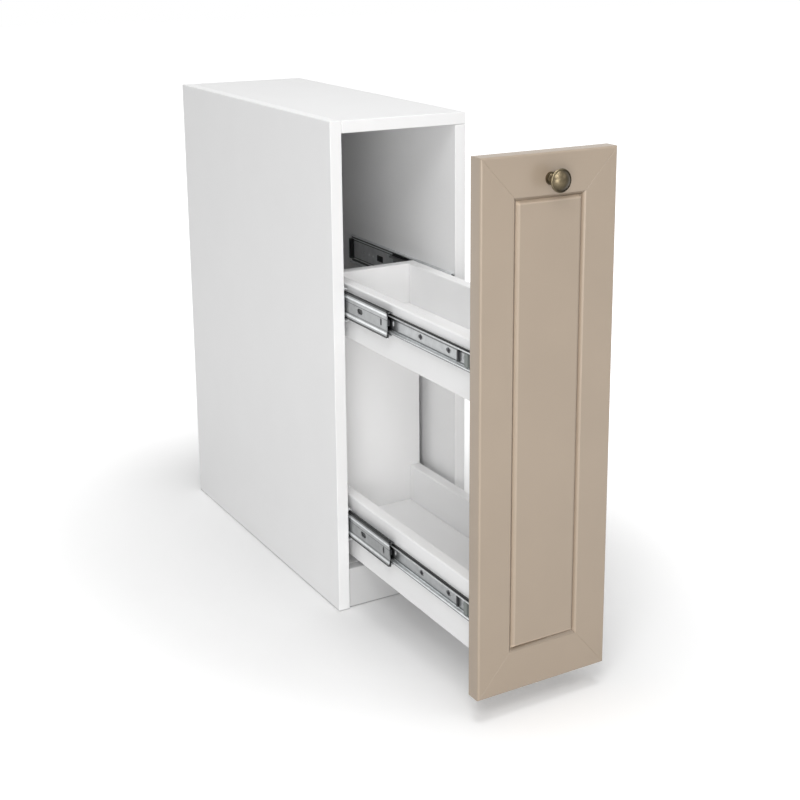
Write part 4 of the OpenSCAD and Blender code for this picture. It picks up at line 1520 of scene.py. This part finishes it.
@dataclass(frozen=True)
class Studio:
    """Camera, lamps, world and floor."""

    camera_place: Vector = field(default_factory=lambda: Vector((-0.888269, -1.606781, 0.904598)))
    camera_yaw: float = 31.57
    camera_pitch: float = 14.09
    camera_roll: float = 0.124
    lens: float = 63.92
    sensor: float = 36.0
    shift: tuple[float, float] = (-0.075, -0.14375)
    near_clip: float = 10 * MM
    lamp_target: Vector = field(default_factory=lambda: Vector((0, 0, 0.35)))
    # The world's strength as light and as it looks
    ambient: float = 0.26
    backdrop: float = 1.0
    floor_half: float = 12.0
    floor_drop: float = 0.2 * MM
    floor_color: Color = (0.90, 0.90, 0.90)
    # The oval of painted shadow around the cabinet, in which the floor keeps its own colour, and
    # its lift to white by the share of the way to the oval's rim
    oval_size: Vector = field(default_factory=lambda: Vector((1.30, 1.86, 1.0)))
    oval_centre: Vector = field(default_factory=lambda: Vector((-0.015, 0.08, 0)))
    oval_turn: float = 13.2
    oval_lift: tuple[tuple[float, float], ...] = (
        *((0.0, 0.0), (0.10, 0.01), (0.16, 0.06), (0.22, 0.13), (0.28, 0.24)),
        *((0.34, 0.37), (0.42, 0.53), (0.54, 0.70), (0.74, 0.86), (1.0, 0.95)),
    )

    def build(self) -> None:
        """Sets the studio up."""
        bpy.context.scene.view_settings.view_transform = "Standard"
        self.hang_camera()
        self.light_world()
        self.lay_floor()
        for lamp in (
            Lamp("key", Vector((-1.567, -2.006, 2.896)), 1.4, 33.0),
            Lamp("low_key", Vector((-2.111, -2.905, 0.601)), 1.2, 28.5),
            Lamp("front_fill", Vector((-1.524, -3.125, 1.282)), 1.4, 15.0),
            Lamp("overhead", Vector((-0.190, -0.522, 3.501)), 1.4, 38.0),
            Lamp("right_fill", Vector((2.004, -2.388, 2.150)), 1.5, 6.5),
        ):
            lamp.build(self.lamp_target)

    def hang_camera(self) -> None:
        """Places the camera at the photograph's viewpoint."""
        data = bpy.data.cameras.new("view")
        data.sensor_width = self.sensor
        data.lens = self.lens
        data.shift_x, data.shift_y = self.shift
        data.clip_start = self.near_clip
        camera = bpy.data.objects.new("view", data)
        turn = (
            Matrix.Rotation(math.radians(-self.camera_yaw), 4, "Z")
            @ Matrix.Rotation(math.radians(90 - self.camera_pitch), 4, "X")
            @ Matrix.Rotation(math.radians(self.camera_roll), 4, "Z")
        )
        camera.matrix_world = Matrix.Translation(self.camera_place) @ turn
        bpy.context.scene.collection.objects.link(camera)
        bpy.context.scene.camera = camera

    def seen_directly(self, sheet: NodeSheet) -> Socket:
        """A factor of 1 for camera, mirror and glass rays and 0 for the rest.

        Args:
            sheet: The node tree that it goes into.

        Returns:
            The factor.
        """
        rays = sheet.node("LightPath", {}).outputs
        total = rays["Is Camera Ray"]
        for name in ("Is Glossy Ray", "Is Transmission Ray"):
            adding = sheet.node("Math", {0: total, 1: rays[name]}, operation="ADD", use_clamp=True)
            total = adding.outputs["Value"]
        return total

    def light_world(self) -> None:
        """A plain white backdrop that lights the object more dimly than it looks."""
        world = bpy.data.worlds.new("studio")
        bpy.context.scene.world = world
        world.use_nodes = True
        sheet = NodeSheet(world.node_tree)
        sheet.nodes.clear()
        light, look = (
            sheet.node("Background", {"Color": (1, 1, 1, 1), "Strength": strength}).outputs[0]
            for strength in (self.ambient, self.backdrop)
        )
        mix = sheet.node("MixShader", {"Fac": self.seen_directly(sheet), 1: light, 2: look})
        sheet.node("OutputWorld", {"Surface": mix.outputs[0]})

    def floor_material(self) -> Material:
        """A pale matt floor with a painted shadow around the cabinet, which turns to plain white
        away from it.

        Returns:
            The material.
        """
        material = bpy.data.materials.new("pale_floor")
        material.use_nodes = True
        sheet = NodeSheet(material.node_tree)
        sheet.nodes.clear()
        oval = {
            "Vector": sheet.node("TexCoord", {}).outputs["Object"],
            "Location": self.oval_centre,
            "Rotation": (0, 0, math.radians(self.oval_turn)),
            "Scale": self.oval_size,
        }
        place = sheet.node("Mapping", oval, vector_type="TEXTURE").outputs["Vector"]
        stops = [(position, (level,) * 3) for position, level in self.oval_lift]
        lift = sheet.ramp(sheet.radius(place), stops)
        strength = sheet.sum_up("MULTIPLY", self.seen_directly(sheet), lift)
        matt = sheet.node("BsdfDiffuse", {"Color": (*self.floor_color, 1.0)}).outputs[0]
        glow = sheet.node("Emission", {"Strength": strength}).outputs[0]
        total = sheet.node("AddShader", {0: matt, 1: glow})
        sheet.node("OutputMaterial", {"Surface": total.outputs[0]})
        return material

    def lay_floor(self) -> None:
        """Lays the floor just under the cabinet."""
        mesh = bmesh.new()
        bmesh.ops.create_grid(mesh, x_segments=1, y_segments=1, size=self.floor_half)
        bmesh.ops.translate(mesh, vec=-Z_AXIS * self.floor_drop, verts=mesh.verts)
        floor = new_object("floor", mesh)
        floor.data.materials.append(self.floor_material())


def main() -> None:
    """Builds the cabinet's looks."""
    logging.basicConfig(level=logging.INFO, format="%(message)s")
    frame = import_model()
    boards, front = BoardFinishes(), FrontFinishes()
    Studio().build()
    Fittings().dress(frame["nodes"], FittingFinishes(), boards.carcass)
    Carcass().build(boards)
    DrawerBoxes().build(boards)
    Front().build(front)
    Knob().build(front.brass)


if __name__ == "__main__":
    main()
